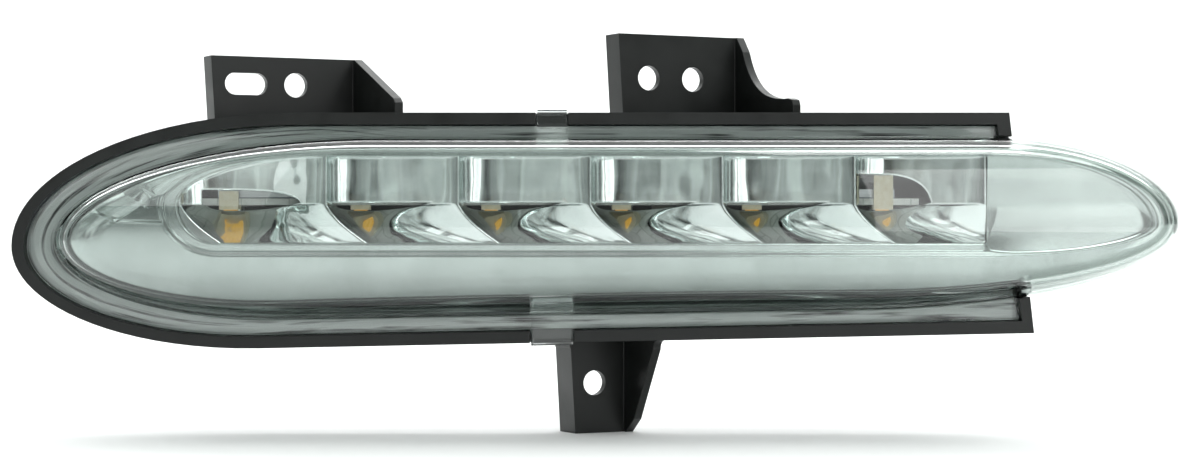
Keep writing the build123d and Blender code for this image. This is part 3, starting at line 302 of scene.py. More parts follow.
STATIONS = (
    np.linspace(0.0, 1.0, NOSE_COUNT),
    *side_stations(UPPER_RUN, TAB_HALF[0], RIM_END[0]),
    *side_stations(LOWER_RUN, TAB_HALF[1], RIM_END[1]),
)
FOOT = leaf(0.0, 0.0, STATIONS)
PER_HEIGHT = (leaf(0.0, 10.0, STATIONS) - FOOT) / 10.0
PER_INSET = (leaf(10.0, 0.0, STATIONS) - FOOT) / 10.0
UPPER_COUNT = sum(len(part) for part in STATIONS[:3])
print("stations around the cover", len(FOOT), "of which above", UPPER_COUNT)

# %% [markdown]
# The front of the cover bows both ways, like a slice of a very large barrel. The flange
# follows the rim: its outline is a second, blunter nose, and it steps out at the two
# stubs. Right of the rim's end there is no flange, so there it keeps a hair outside the
# leaf. Whole arrays are chosen with where, so no point is visited one by one.

# %% Front bow and flange outline
PLAN_RADIUS, SECTION_RADIUS = 2000.0, 75.0
COVER_HEIGHT, BOW_AXIS_Z = 14.0, -0.3
FLANGE_TIP, FLANGE_TOP = (-143.4, -5.9), 24.1
FLANGE_LOW = ((-85.0, -28.1), (104.9, -24.3))
FLANGE_NOSE_END = (-75.0, -85.0)
OWN_X = (-40.0, -60.0)
FAR_X = 150.0
STUB = 4.1
HAIR = np.array([0.03, 0.04])


def bow(x, z, inset):
    """Depth of the bowed front: a 75 mm section swung on a 2000 mm plan radius, moved back by
    the inset."""
    plan = PLAN_RADIUS - np.sqrt(PLAN_RADIUS**2 - x**2)
    radius = SECTION_RADIUS - inset
    section = radius - np.sqrt(radius**2 - (z - BOW_AXIS_Z) ** 2)
    return inset - COVER_HEIGHT + plan + section


def upper_lower(loop):
    """Upper and lower edge of a loop, both from the left tip to the right."""
    return loop[:UPPER_COUNT], np.concatenate([loop[:1], loop[UPPER_COUNT - 1 :][::-1]])


def flange_loop(stub):
    """Outer edge of the flange at each station: the rim's nose, its straight runs, and two
    stubs of a length. From OWN_X on, its stations have the X of the leaf's."""
    nose = STATIONS[0]
    (low_x, low_z), (end_x, end_z) = FLANGE_LOW
    slope = (end_z - low_z) / (end_x - low_x)
    corners = (FLANGE_TIP[0], FLANGE_TOP), (FLANGE_TIP[0], low_z - slope * (low_x - FLANGE_TIP[0]))
    halves = []
    for place, edge in enumerate(upper_lower(FOOT)):
        upward = 1.0 - 2.0 * place
        after = edge[len(nose) :]
        begin = (UPPER_RUN, LOWER_RUN)[place][0]
        nose_end = FLANGE_NOSE_END[place]
        x = np.interp(after[:, 0], [begin, OWN_X[place], FAR_X], [nose_end, OWN_X[place], FAR_X])
        z = FLANGE_TOP + 0.0 * x if place == 0 else low_z + slope * (x - low_x)
        z = np.where(np.abs(x - TAB_X) < TAB_HALF[place], z + upward * stub, z)
        beyond = after[:, 0] > RIM_END[place]
        out = np.where(beyond[:, None], after + HAIR * [1.0, upward], np.stack([x, z], axis=1))
        end = (nose_end, (FLANGE_TOP, low_z)[place])
        halves.append(np.concatenate([quarter(FLANGE_TIP, corners[place], end, nose), out]))
    return np.concatenate([halves[0], halves[1][-2:0:-1]])


FLANGE = flange_loop(STUB)
print("flange spans", FLANGE.min(axis=0).round(1), FLANGE.max(axis=0).round(1))

# %% [markdown]
# Every ring is one loop of points, and the cover is a stack of rings from the inside of
# the dome down its wall, out under the flange, round the flange's edge, back over it and
# up the outer wall. Corners between two runs are short quadratic curves, which gives
# the rounded foot that draws the bright line round the dome. Two bowed grids close it.


# %% Ways to make rings
def ring(inset, height, y):
    """Loop at an inset and a height of the leaf, in mm, at depth y."""
    inset, height = (np.broadcast_to(value, len(FOOT))[:, None] for value in (inset, height))
    flat = FOOT + PER_INSET * inset + PER_HEIGHT * height
    return np.stack([flat[:, 0], np.broadcast_to(y, len(FOOT)), flat[:, 1]], axis=1)


def turn(start, corner, end, steps):
    """Rings that round a corner: (1 - s)^2 start + 2 s (1 - s) corner + s^2 end."""
    share = np.linspace(0.0, 1.0, steps)[:, None, None]
    return (1 - share) ** 2 * start + 2 * share * (1 - share) * corner + share**2 * end


def front_height(inset, behind, guess):
    """Height where a leaning wall meets the bowed front, and the loop there. The height decides
    the loop and the loop the height, so a guess is fed back six times."""
    height = np.full(len(FOOT), guess)
    for _ in range(6):
        edge = ring(inset, height, 0.0)
        height = -bow(edge[:, 0], edge[:, 2], behind)
    return height, edge


def wall(inset, behind, radius, steps):
    """Rings up a leaning wall from depth 0 and over a rounded edge on to the bowed front."""
    height, _ = front_height(inset, behind, 12.0)
    levels = np.linspace(0.0, 1.0, steps)[:, None] * (height - radius)
    start = np.stack([ring(inset, level, -level) for level in levels])
    corner = ring(inset, height, -height)
    end = ring(inset + radius, height, 0.0)
    end[:, 1] = bow(end[:, 0], end[:, 2], behind)
    return np.concatenate([start, turn(start[-1], corner, end, 9)[1:]])


def cap(boundary, behind, rows):
    """Bowed grid between the upper and the lower half of a loop: straight in plan, its depth
    from the bow."""
    upper, lower = upper_lower(boundary)
    share = np.linspace(0.0, 1.0, rows)[:, None, None]
    grid = upper + share * (lower - upper)
    inside = bow(grid[..., 0], grid[..., 2], behind)
    grid[1:-1, :, 1] = inside[1:-1]
    return grid


print("one ring has", ring(0.0, 0.0, 0.0).shape[0], "points")

# %% [markdown]
# The cover is 2 mm thick, with a flange of 2.4 mm. The outer edge of the dome is rounder
# than the inner one, as in a moulding of even thickness. The small roundings give way
# where the flange is narrow, so that no ring crosses the next one.

# %% Rings of the cover
COVER_WALL, FLANGE_THICK = 2.0, 2.4
EDGE_RADIUS = 4.0
FLANGE_EASE, FOOT_EASE, FOOT_RISE = 0.45, 0.9, 0.12
CAP_ROWS = 36
inner = wall(COVER_WALL, COVER_WALL, 0.5 * EDGE_RADIUS, 5)
outer = wall(0.0, 0.0, EDGE_RADIUS, 6)
rim = np.stack([FLANGE[:, 0], np.zeros(len(FLANGE)), FLANGE[:, 1]], axis=1)
reach = np.linalg.norm(rim - outer[0], axis=1, keepdims=True)
inward = (outer[0] - rim) / reach
ease = np.minimum(FLANGE_EASE, 0.4 * reach)
back = np.array([0.0, 1.0, 0.0])
under_edge = turn(
    rim + ease * inward + FLANGE_THICK * back,
    rim + FLANGE_THICK * back,
    rim + (FLANGE_THICK - ease) * back,
    4,
)
front_edge = turn(rim + ease * back, rim, rim + ease * inward, 4)
foot_reach = np.minimum(FOOT_EASE, 0.45 * reach)
foot_top = outer[0] + FOOT_RISE * (outer[1] - outer[0])
foot = turn(outer[0] - foot_reach * inward, outer[0], foot_top, 6)
under = inner[:1] + FLANGE_THICK * back
stack = np.concatenate([inner[::-1], under, under_edge, front_edge, foot, outer[1:]])
caps = [cap(stack[0], COVER_WALL, CAP_ROWS), cap(stack[-1], 0.0, CAP_ROWS)]
print("rings", stack.shape, "caps", caps[0].shape)

# %% [markdown]
# A grid becomes faces by pairing each point with its neighbours along both parameters.
# The rings and the two caps share their borders, so merging doubles closes the cover,
# and only then are the normals recalculated, which for one closed skin is safe.

# %% From grids to a mesh
MERGE = 0.002


def grid_faces(rows, columns, start, closed):
    """Corner numbers of the quads between rows and columns that begin at a number, round a
    loop if closed."""
    number = start + np.arange(rows * columns).reshape(rows, columns)
    if closed:
        number = np.concatenate([number, number[:, :1]], axis=1)
    quads = [number[:-1, :-1], number[1:, :-1], number[1:, 1:], number[:-1, 1:]]
    return np.stack(quads, axis=-1).reshape(-1, 4)


def make_piece(name, grids, material, attribute="", values=None):
    """Object from (points in mm, closed round a loop) grids: merged, made outward and smooth."""
    points = np.concatenate([grid.reshape(-1, 3) for grid, _ in grids]) * MM
    starts = np.cumsum([0] + [grid.shape[0] * grid.shape[1] for grid, _ in grids])
    faces = [
        grid_faces(*grid.shape[:2], start, closed)
        for (grid, closed), start in zip(grids, starts)
    ]
    mesh = bpy.data.meshes.new(name)
    mesh.from_pydata(points.tolist(), [], np.concatenate(faces).tolist())
    if attribute:
        layer = mesh.attributes.new(attribute, "FLOAT_VECTOR", "POINT")
        layer.data.foreach_set("vector", values.ravel())
    shape = bmesh.new()
    shape.from_mesh(mesh)
    bmesh.ops.remove_doubles(shape, verts=shape.verts[:], dist=MERGE * MM)
    bmesh.ops.dissolve_degenerate(shape, edges=shape.edges[:], dist=0.2 * MERGE * MM)
    bmesh.ops.recalc_face_normals(shape, faces=shape.faces[:])
    open_edges = sum(1 for edge in shape.edges if not edge.is_manifold)
    shape.to_mesh(mesh)
    shape.free()
    mesh.polygons.foreach_set("use_smooth", np.ones(len(mesh.polygons), bool))
    mesh.materials.append(material)
    piece = bpy.data.objects.new(name, mesh)
    bpy.context.scene.collection.objects.link(piece)
    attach(piece, "root")
    print(name, "faces", len(mesh.polygons), "open edges", open_edges)
    return piece


print("points closer than", MERGE, "mm are merged")

# %% [markdown]
# The cover is polycarbonate, polished by its mould and hard-coated. It bends light more
# than window glass does (IOR 1.585) and carries a faint green-grey tint. Flow in the
# mould leaves waves a few centimetres long and only microns high, which make the edges
# of what lies behind wobble. They run along the lamp, so the pattern is stretched in X.
# The plastic also takes up a little light on its way through, so its edges look darker.
# Past the housing's end the rim of the cover is free. It was trimmed there and not polished,
# so it is greyer and duller, and an attribute on the points says how far that reaches.

# %% Clear cover
FREE_WIDTH, FREE_FADE, FREE_START = 3.4, 2.4, 4.0
CUT_ROUGHNESS = 0.12
clear_cover, tree, shader, _ = start_finish(
    "clear_polycarbonate_hard_coated",
    "#f4f7f6",
    "#fafbfb",
    30.0,
    (0.0, 0.02),
    (7.0, 0.012, 0.5),
    (0.25, 1.0, 1.0),
    IOR=1.585,
    Transmission_Weight=1.0,
)
depth_tint = add(
    tree, "ShaderNodeVolumeAbsorption", {"Color": shade("#b3c2bd"), "Density": 70.0}
)
tree.links.new(depth_tint.outputs["Volume"], tree.nodes["Material Output"].inputs["Volume"])
from_rim = np.linalg.norm((stack - rim)[..., [0, 2]], axis=-1)
free = np.clip((FREE_WIDTH + FREE_FADE - from_rim) / FREE_FADE, 0.0, 1.0)
free *= np.clip((rim[:, 0] - RIM_END[1]) / FREE_START, 0.0, 1.0)
shares = np.concatenate([free.ravel(), np.zeros(sum(grid[..., 0].size for grid in caps))])
cut_edge = add(tree, "ShaderNodeAttribute", attribute_name="free_edge").outputs["Fac"]
cut_looks = {"Base Color": shade("#c6cfcb"), "Roughness": (*[CUT_ROUGHNESS] * 3, 1.0)}
for socket, cut in cut_looks.items():
    polished = shader.inputs[socket].links[0].from_socket
    both = add(tree, "ShaderNodeMixRGB", {"Color2": cut}, {"Fac": cut_edge, "Color1": polished})
    tree.links.new(both.outputs["Color"], shader.inputs[socket])
cover = make_piece(
    "clear_cover",
    [(stack, True), (caps[0], False), (caps[1], False)],
    clear_cover,
    attribute="free_edge",
    values=np.repeat(shares[:, None], 3, axis=1),
)
print("points on the free edge", int((shares > 0.5).sum()))
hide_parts("outer_lens")

# %% [markdown]
# Behind the cover sits the silvered surround of the mirrors. Its front follows the same
# bow, 3.6 mm further back. Round the window it falls in two low steps, and to the right
# the steps run on as a pointed pocket with leaning floors. A block cut with booleans would
# leave knife edges, which mirror finishes show at once. Here three loops, the window, the
# pocket and the foot, share the cover's stations, and rings are drawn between them.

# %% Loops of the surround
WINDOW_LEFT, POCKET_LEFT = (-104.5, 4.4), (-109.0, 4.4)
NOSE_ENDS = (-68.5, -94.5)
WINDOW_EDGES, POCKET_EDGES = (16.1, -5.1), (16.9, -8.3)
WINDOW_TURN, WINDOW_SIDE, SIDE_MIDDLE_Z = 95.8, 95.9, 3.0
POCKET_TIP = (138.0, -0.3)
SPREAD_LENGTH, SPREAD_END = 25.0, 92.0


def surround_loops():
    """Window and pocket at each station: noses by share, runs at the cover's own X, and a right
    side that fans out."""
    nose = STATIONS[0]
    windows, pockets = [], []
    edges = zip(upper_lower(FOOT), NOSE_ENDS, WINDOW_EDGES, POCKET_EDGES)
    for edge, begin, edge_z, step_z in edges:
        x = edge[len(nose) :, 0]
        settled = x[0] + SPREAD_LENGTH
        place = np.interp(
            x,
            [x[0], settled, SPREAD_END, RIGHT_TIP[0]],
            [begin, settled, SPREAD_END, POCKET_TIP[0]],
        )
        share = np.linspace(0.0, 1.0, 4000)
        end = quarter((WINDOW_TURN, step_z), (POCKET_TIP[0], step_z), POCKET_TIP, share)
        fan = np.clip((place - WINDOW_TURN) / (POCKET_TIP[0] - WINDOW_TURN), 0.0, 1.0)
        level = np.where(place < WINDOW_TURN, step_z, np.interp(place, end[:, 0], end[:, 1]))
        pocket = np.stack([place, level], axis=1)
        side = edge_z + (SIDE_MIDDLE_Z - edge_z) * fan
        window = np.stack([np.where(place < WINDOW_TURN, place, WINDOW_SIDE), side], axis=1)
        for loops, left, z, after in (
            (windows, WINDOW_LEFT, edge_z, window),
            (pockets, POCKET_LEFT, step_z, pocket),
        ):
            loops.append(np.concatenate([quarter(left, (left[0], z), (begin, z), nose), after]))
    return [np.concatenate([above, below[-2:0:-1]]) for above, below in (windows, pockets)]


WINDOW, POCKET = surround_loops()
RIGHT = WINDOW[:, 0] > 0.5 * (WINDOW_TURN + WINDOW_SIDE)
print("stations beside the window", int(RIGHT.sum()))

# %% [markdown]
# The floor of the pocket has a shallow valley: one plane leans in from above, one from
# below, and a narrow flat lies between them and runs out towards the tip. Where planes
# meet, a soft version of max rounds the crease. On the left a pointed dent tapers off.

# %% Floors of the surround
FRONT_INSET, TREAD_INSET, FLOOR_INSET = 3.6, 4.2, 4.8
MIRROR_FRONT = -3.8
VALLEY_START, VALLEY_LENGTH = 94.8, 45.1
VALLEY_HIGH_Z, VALLEY_LOW_Z, VALLEY_RISE = 4.1, -2.4, 5.8
LEAN_ABOVE, LEAN_BELOW = (0.12, 0.063), (0.244, 0.026)
CREASE = 0.7
DENT_TIP, DENT_END = (-129.0, 0.6), -107.5
DENT_LENGTH, DENT_HEIGHT, DENT_DEPTH, DENT_EASE = 21.0, 6.6, 1.3, 0.5


def soft_above(value, softness):
    """Soft version of max(value, 0): softness times log(1 + exp(value / softness))."""
    return softness * np.logaddexp(0.0, value / softness)


def valley(x, z):
    """Depth of the pocket's floor right of the window: a flat, with planes leaning in above and
    below it. Leans and flat change evenly towards the tip."""
    share = np.clip((x - VALLEY_START) / VALLEY_LENGTH, 0.0, 1.0)
    lean_above = LEAN_ABOVE[0] + share * (LEAN_ABOVE[1] - LEAN_ABOVE[0])
    lean_below = LEAN_BELOW[0] + share * (LEAN_BELOW[1] - LEAN_BELOW[0])
    low = VALLEY_LOW_Z + share * VALLEY_RISE
    from_above = lean_above * soft_above(z - VALLEY_HIGH_Z, CREASE)
    from_below = lean_below * soft_above(low - z, CREASE)
    return MIRROR_FRONT - from_above - from_below


def dent(x, z):
    """Depth of the pointed dent on the left: 1.3 mm at its wide end, none at its tip, with
    eased borders."""
    share = np.clip((x - DENT_TIP[0]) / DENT_LENGTH, 0.0, 1.0)
    low = DENT_TIP[1] - DENT_TIP[1] * share
    inside_low = np.clip((z - low) / DENT_EASE + 0.5, 0.0, 1.0)
    inside_high = np.clip((low + DENT_HEIGHT * share - z) / DENT_EASE + 0.5, 0.0, 1.0)
    return DENT_DEPTH * share * inside_low * inside_high * (x < DENT_END)


def front_depth(flat):
    """Depth of the bowed front with its dent, at each point of a flat loop."""
    return bow(flat[:, 0], flat[:, 1], FRONT_INSET) + dent(flat[:, 0], flat[:, 1])


def floor_depth(flat):
    """Depth of the lowest step, or of the valley beside the window, at each station."""
    low_step = bow(flat[:, 0], flat[:, 1], FLOOR_INSET)
    return np.where(RIGHT, valley(flat[:, 0], flat[:, 1]), low_step)


print("the valley's floor is", -MIRROR_FRONT, "mm in front of the flange")

# %% [markdown]
# Each step has an inner corner and an outer edge, and both are rounded a little, because
# the tool is and because the film would not cover a sharp one. Between two loops the rings
# lie on a straight plan, and a function gives each of them its depth.

# %% Steps between loops
TREAD_WIDTH, STEP_EASE = 1.2, 0.3
outward = POCKET - WINDOW
ledge_width = np.linalg.norm(outward, axis=1, keepdims=True)
outward /= ledge_width
TREAD = POCKET - np.minimum(TREAD_WIDTH, 0.45 * ledge_width) * outward
step_ease = np.minimum(STEP_EASE, 0.2 * ledge_width) * outward


def lift(flat, y):
    """Ring from a flat loop and its depth."""
    return np.stack([flat[:, 0], np.broadcast_to(y, len(flat)), flat[:, 1]], axis=1)


def step(flat, low, high):
    """Rings over one step: a rounded inner corner up to half height, then a rounded edge."""
    middle = lift(flat, (low + high) / 2)
    lower = turn(lift(flat - step_ease, low), lift(flat, low), middle, 4)
    upper = turn(middle, lift(flat, high), lift(flat + step_ease, high), 4)
    return np.concatenate([lower, upper[1:]])


def between(start, end, steps, depth):
    """Rings on a straight plan between two loops, each at the depth that a function gives."""
    flats = start + np.linspace(0.0, 1.0, steps)[:, None, None] * (end - start)
    return np.stack([lift(flat, depth(flat)) for flat in flats])


print("steps are", ledge_width.min().round(2), "to", ledge_width.max().round(1), "mm wide")

# %% [markdown]
# The section starts at the back of the window's edge, goes over the floor, up the two
# steps, across the bowed front, round the shoulder and down the wall. The shoulder is as
# round as the room allows, up to 9 mm, and that is what lets the silver darken softly
# towards its lower edge. A second skin behind it closes the section, so it is a true shell.

# %% Section of the surround
SURROUND_INSET = 2.4
SHOULDER_LEAST, SHOULDER_MOST = 0.3, 9.0
LIP, LIP_RIGHT, LIP_DEPTH = 0.5, 0.12, 0.5
SHELL, SHELL_INSET = 1.4, 5.0
SHELL_SIDE, COLLAR = 1.2, 1.5
FREE_FOOT, SEATED_FOOT = 0.3, 4.8
END_WALL, END_WALL_RUN, END_WALL_DROP = (102.0, 27.4), 6.2, 55.0


def end_wall_x(z):
    """X of the slanted wall at the end of the housing, at a height."""
    return END_WALL[0] + END_WALL_RUN * (END_WALL[1] - z) / END_WALL_DROP


height, edge = front_height(SURROUND_INSET, FRONT_INSET, 10.0)
gaps = np.linalg.norm(edge[:, None, [0, 2]] - POCKET[None], axis=-1)
room_left = gaps.min(axis=0)
shoulder = np.clip(0.85 * gaps.min(axis=1), SHOULDER_LEAST, SHOULDER_MOST)
shoulder_end = ring(SURROUND_INSET + shoulder, height, 0.0)[:, [0, 2]]
wall_top = height - shoulder
tread_depth = bow(TREAD[:, 0], TREAD[:, 1], TREAD_INSET)
pocket_depth = bow(POCKET[:, 0], POCKET[:, 1], TREAD_INSET)
lip = np.where(RIGHT[:, None], LIP_RIGHT, np.minimum(LIP, 0.25 * ledge_width)) * outward
lip_end = WINDOW + lip
bare_edge = floor_depth(WINDOW)
back_edge = np.where(RIGHT, bare_edge + SHELL, MIRROR_FRONT)
front_start = POCKET + np.minimum(STEP_EASE, 0.2 * room_left[:, None]) * outward
foot_depth = np.where(FOOT[:, 0] > end_wall_x(FOOT[:, 1]), FREE_FOOT, SEATED_FOOT)
far = np.minimum(SHELL_SIDE, 0.5 * room_left)
shell_inset = SURROUND_INSET + far
beyond = POCKET + far[:, None] * outward
collar = WINDOW + np.minimum(COLLAR, 0.6 * ledge_width) * outward
collar_depth = floor_depth(collar) + SHELL
edge_start = lift(WINDOW, bare_edge + LIP_DEPTH)
window_edge = turn(edge_start, lift(WINDOW, bare_edge), lift(lip_end, floor_depth(lip_end)), 4)
shoulder_start = lift(shoulder_end, front_depth(shoulder_end))
shoulder_corner = ring(SURROUND_INSET, height, -height)
wall_start = ring(SURROUND_INSET, wall_top, -wall_top)
print("shoulder radius", shoulder.min().round(1), "to", shoulder.max().round(1), "mm")

# %% [markdown]
# Now the rings are put in order. The first eight lines are the visible side, from the
# window outwards, and the rest return behind it to the ring where the section began.

# %% Rings of the surround
sections = [
    lift(WINDOW, back_edge)[None],
    window_edge,
    between(lip_end, TREAD - step_ease, 16, floor_depth)[1:-1],
    step(TREAD, floor_depth(TREAD), tread_depth),
    step(POCKET, pocket_depth, front_depth(POCKET)),
    between(front_start, shoulder_end, 40, front_depth)[1:-1],
    turn(shoulder_start, shoulder_corner, wall_start, 12),
    np.stack([ring(SURROUND_INSET, wall_top * s, -wall_top * s) for s in (0.6, 0.3, 0.0)]),
    ring(SURROUND_INSET, 0.0, foot_depth)[None],
    np.stack([ring(shell_inset, 0.0, foot_depth), ring(shell_inset, 0.0, 0.0)]),
    ring(shell_inset, 0.8 * wall_top, -0.8 * wall_top)[None],
    lift(beyond, bow(beyond[:, 0], beyond[:, 1], SHELL_INSET))[None],
    np.stack([lift(beyond, floor_depth(beyond) + SHELL), lift(collar, collar_depth)]),
    np.stack([lift(collar, np.maximum(collar_depth, MIRROR_FRONT)), lift(WINDOW, back_edge)]),
]
section = np.concatenate(sections)
print("rings of the surround", section.shape)

# %% [markdown]
# Where the housing ends, a rib under the surround meets the end wall. It is a flat bar on
# the slant of that wall: four corners carried from the lower to the upper edge. The silver
# is a film of aluminium on lacquer over a fine-blasted tool, so it is satin rather than
# mirror-like, and the lacquer leaves slow waves of about 16 mm that bend reflections.

# %% Silver surround
RIB_LOW_Z, RIB_HIGH_Z, RIB_POCKET_Z = -17.5, 16.5, -9.2
RIB_WIDTH, RIB_SET_BACK, RIB_BACK = 2.4, 0.8, 0.5
heights = np.linspace(RIB_LOW_Z, RIB_HIGH_Z, 40)
slant = end_wall_x(heights)
pocket_floor = np.maximum(valley(slant, heights), bow(slant, heights, FLOOR_INSET))
under_front = bow(slant, heights, FRONT_INSET)
rib_front = np.where(heights > RIB_POCKET_Z, pocket_floor, under_front) + RIB_SET_BACK
rib_back = np.full(len(heights), RIB_BACK)
corners = (RIB_WIDTH, rib_front), (0.0, rib_front), (0.0, rib_back), (RIB_WIDTH, rib_back)
rib = np.stack([np.stack([slant - side, y, heights], axis=1) for side, y in corners], axis=1)
ends = np.repeat(rib[[0, -1]].mean(axis=1, keepdims=True), len(corners), axis=1)
rib = np.concatenate([ends[:1], rib, ends[1:]])
satin_silver, *_ = start_finish(
    "aluminium_film_on_blasted_lacquer",
    "#abb3b0",
    "#bcc4c1",
    14.0,
    (0.13, 0.2),
    (16.0, 0.2, 0.4),
    Metallic=1.0,
)
surround = make_piece("silver_surround", [(section, True), (rib, True)], satin_silver)
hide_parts("front_bezel")

# %% [markdown]
# Under the clear flange lies a bead of butyl that was pressed flat when the cover went
# on. Where it wets the plastic it looks black. Where air stayed between them the flange
# shines like silver, and that reflection is painted here as light grey streaks in the
# bead's own colour. Those streaks follow the bead round the nose, so the bead is its own
# strip here and carries how far along and how far across it each point lies.

# %% Strip of the sealant bead
BEAD_INSET = 2.2
BEAD_SHARES = np.array([0.02, 0.2, 0.4, 0.6, 0.8, 0.98, 0.98, 0.02])
BEAD_DEPTHS = np.array([2.7, 2.55, 2.5, 2.5, 2.55, 2.7, 3.45, 3.45])
paths = []
for loop in (flange_loop(0.0), FOOT + BEAD_INSET * PER_INSET):
    sides = []
    for path, foot_line, end in zip(upper_lower(loop), upper_lower(FOOT), RIM_END):
        sides.append(path[foot_line[:, 0] < end])
    paths.append(np.concatenate([sides[0][::-1], sides[1][1:]]))
along = np.cumsum(np.r_[0.0, np.linalg.norm(np.diff(paths[0], axis=0), axis=1)])
width = np.linalg.norm(paths[1] - paths[0], axis=1)
flats = paths[0] + BEAD_SHARES[:, None, None] * (paths[1] - paths[0])
size = flats.shape[:2]
depths = np.broadcast_to(BEAD_DEPTHS[:, None], size)
lengths = np.broadcast_to(along, size)
bead = np.stack([flats[..., 0], depths, flats[..., 1]], axis=-1)
runs = np.stack([lengths, BEAD_SHARES[:, None] * width, np.zeros(size)], axis=-1)
bead, runs = bead.swapaxes(0, 1), runs.swapaxes(0, 1)
middles = np.repeat(bead[[0, -1]].mean(axis=1, keepdims=True), len(BEAD_SHARES), axis=1)
bead = np.concatenate([middles[:1], bead, middles[1:]])
runs = np.concatenate([runs[:1], runs, runs[-1:]])
print("bead is", along[-1].round(), "mm long")

# %% [markdown]
# The mottle of this finish is stretched along the bead and has a narrow step between black
# and a light grey painted reflection, so it breaks into streaks. A second, short bead on the
# end wall is bare and only shows from behind, so it is plain black butyl.

# %% Finish of the sealant
PAINTED_REFLECTION_STOPS = (0.33, 0.48)
# The light grey stop is a painted silver reflection of the air gaps, not the colour of butyl.
sealant, tree, *_ = start_finish(
    "butyl_bead_painted_silver_reflection",
    "#070a09",
    "#e2e8e5",
    1.5,
    (0.4, 0.2),
    (1.2, 0.2, 0.6),
    (0.06, 1.0, 1.0),
    "bead_run",
)
for streak, position in zip(tree.nodes["Color Ramp"].color_ramp.elements, PAINTED_REFLECTION_STOPS):
    streak.position = position
pressed_bead = make_piece(
    "pressed_bead", [(bead, True)], sealant, attribute="bead_run", values=runs * MM
)
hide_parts("lens_sealant")
hidden_bead, *_ = start_finish(
    "butyl_bead_bare", "#0d100f", "#1c201f", 2.0, (0.4, 0.55), (1.0, 0.1, 0.4)
)
dress(hidden_bead, "end_sealant")

# %% [markdown]
# The mirrors are the same film of aluminium, but their tool was polished, so they are
# true mirrors. Lacquer runs down a little before it sets and leaves waves about 6 mm wide
# and twice as tall, which pull the reflections into streaks. A Bevel node rounds the
# ridges, as lacquer does.

# %% Mirror cells
WAVE_WIDTH, WAVE_RISE, RIDGE_ROUND = 6.0, 0.35, 0.7
mirror_coat, tree, shader, place = start_finish(
    "aluminium_film_on_polished_lacquer", "#dde4e2", "#e8edec", 9.0, (0.03, 0.08), Metallic=1.0
)
rounded = add(tree, "ShaderNodeBevel", {"Radius": RIDGE_ROUND * MM}, samples=8)
upright = add(tree, "ShaderNodeMapping", {"Scale": (1.0, 1.0, 0.45)}, {"Vector": place})
waves = add(
    tree,
    "ShaderNodeTexNoise",
    {"Scale": per_metre(WAVE_WIDTH), "Detail": 0.3},
    {"Vector": upright.outputs["Vector"]},
)
relief = add(
    tree,
    "ShaderNodeBump",
    {"Strength": 0.8, "Distance": WAVE_RISE * MM},
    {"Height": waves.outputs["Fac"], "Normal": rounded.outputs["Normal"]},
)
tree.links.new(relief.outputs["Normal"], shader.inputs["Normal"])
dress(mirror_coat, "reflector")

# %% [markdown]
# The board is aluminium-cored, with white solder mask that throws light back into the
# mirrors. Copper tracks under the mask show as faintly darker bands, which a Brick
# texture draws at 6 by 2.2 mm. Each LED is a cream ceramic body with a dot of amber
# phosphor in silicone. Its grains are near 0.02 mm and are drawn at 0.3 mm to show.
# The phosphor is given a painted glow: a faint emission, though the LED is off.

# %% Board and LEDs
white_mask, tree, shader, place = start_finish(
    "white_solder_mask_printed", "#d5d9d4", "#e4e7e2", 3.0, (0.25, 0.35), (0.8, 0.03, 0.3), IOR=1.5
)
tint = shader.inputs["Base Color"].links[0].from_socket
tracks = add(
    tree,
    "ShaderNodeTexBrick",
    {
        "Color2": shade("#f0f2ee"),
        "Mortar": shade("#b9c0b8"),
        "Scale": per_metre(1.0),
        "Mortar Size": 0.12,
        "Mortar Smooth": 0.3,
        "Brick Width": 6.0,
        "Row Height": 2.2,
    },
    {"Vector": place, "Color1": tint},
)
tree.links.new(tracks.outputs["Color"], shader.inputs["Base Color"])
dress(white_mask, "led_board")
ceramic, *_ = start_finish(
    "cream_ceramic_fired", "#e3d7b4", "#efe7cd", 1.2, (0.35, 0.5), (0.4, 0.03, 0.4), IOR=1.6
)
dress(ceramic, "led_packages")
phosphor, *_ = start_finish(
    "amber_phosphor_painted_glow",
    "#e0a83c",
    "#f4cb66",
    0.3,
    (0.2, 0.35),
    (0.3, 0.02, 0.4),
    IOR=1.41,
    # painted glow: the phosphor emits a little light although the LED is off
    Emission_Color=shade("#eeb445"),
    Emission_Strength=0.5,
)
dress(phosphor, "led_phosphors")

# %% [markdown]
# The metals behind the mirrors are plain. The heat sink and the capacitor's can are rolled
# aluminium, whose roll lines run along X. The screws are zinc-plated steel with a cloudy
# passivated skin. The blades in the socket are tinned brass, a warmer, softer white.

# %% Bare metals
rolled, *_ = start_finish(
    "aluminium_sheet_rolled",
    "#b4b7b9",
    "#cdd0d1",
    1.5,
    (0.26, 0.4),
    (0.6, 0.05, 0.3),
    (0.06, 1.0, 1.0),
    Metallic=1.0,
)
dress(rolled, "heat_sink", "input_capacitor")
zinc, *_ = start_finish(
    "steel_zinc_plated", "#9ea4a8", "#c6c8c4", 1.8, (0.24, 0.42), (0.5, 0.03, 0.3), Metallic=1.0
)
dress(zinc, "board_screws", "back_screws")
tinned, *_ = start_finish(
    "brass_tin_plated",
    "#bdb7a6",
    "#d8d2c2",
    1.2,
    (0.22, 0.36),
    (0.4, 0.02, 0.3),
    (1.0, 0.2, 1.0),
    Metallic=1.0,
)
dress(tinned, "socket_terminals")

# %% [markdown]
# The rest is rubber, plastic and resin. Vulcanised rubber is matt and a little dusty.
# Nylon lets some light in, which softens its white. Moulding resin has filler grains that
# show as specks. The gap pad is silicone on glass cloth with a 1 mm weave. The membrane is
# stretched fluoropolymer felt, whose fibres of 0.05 mm are drawn at 0.4 mm to show.

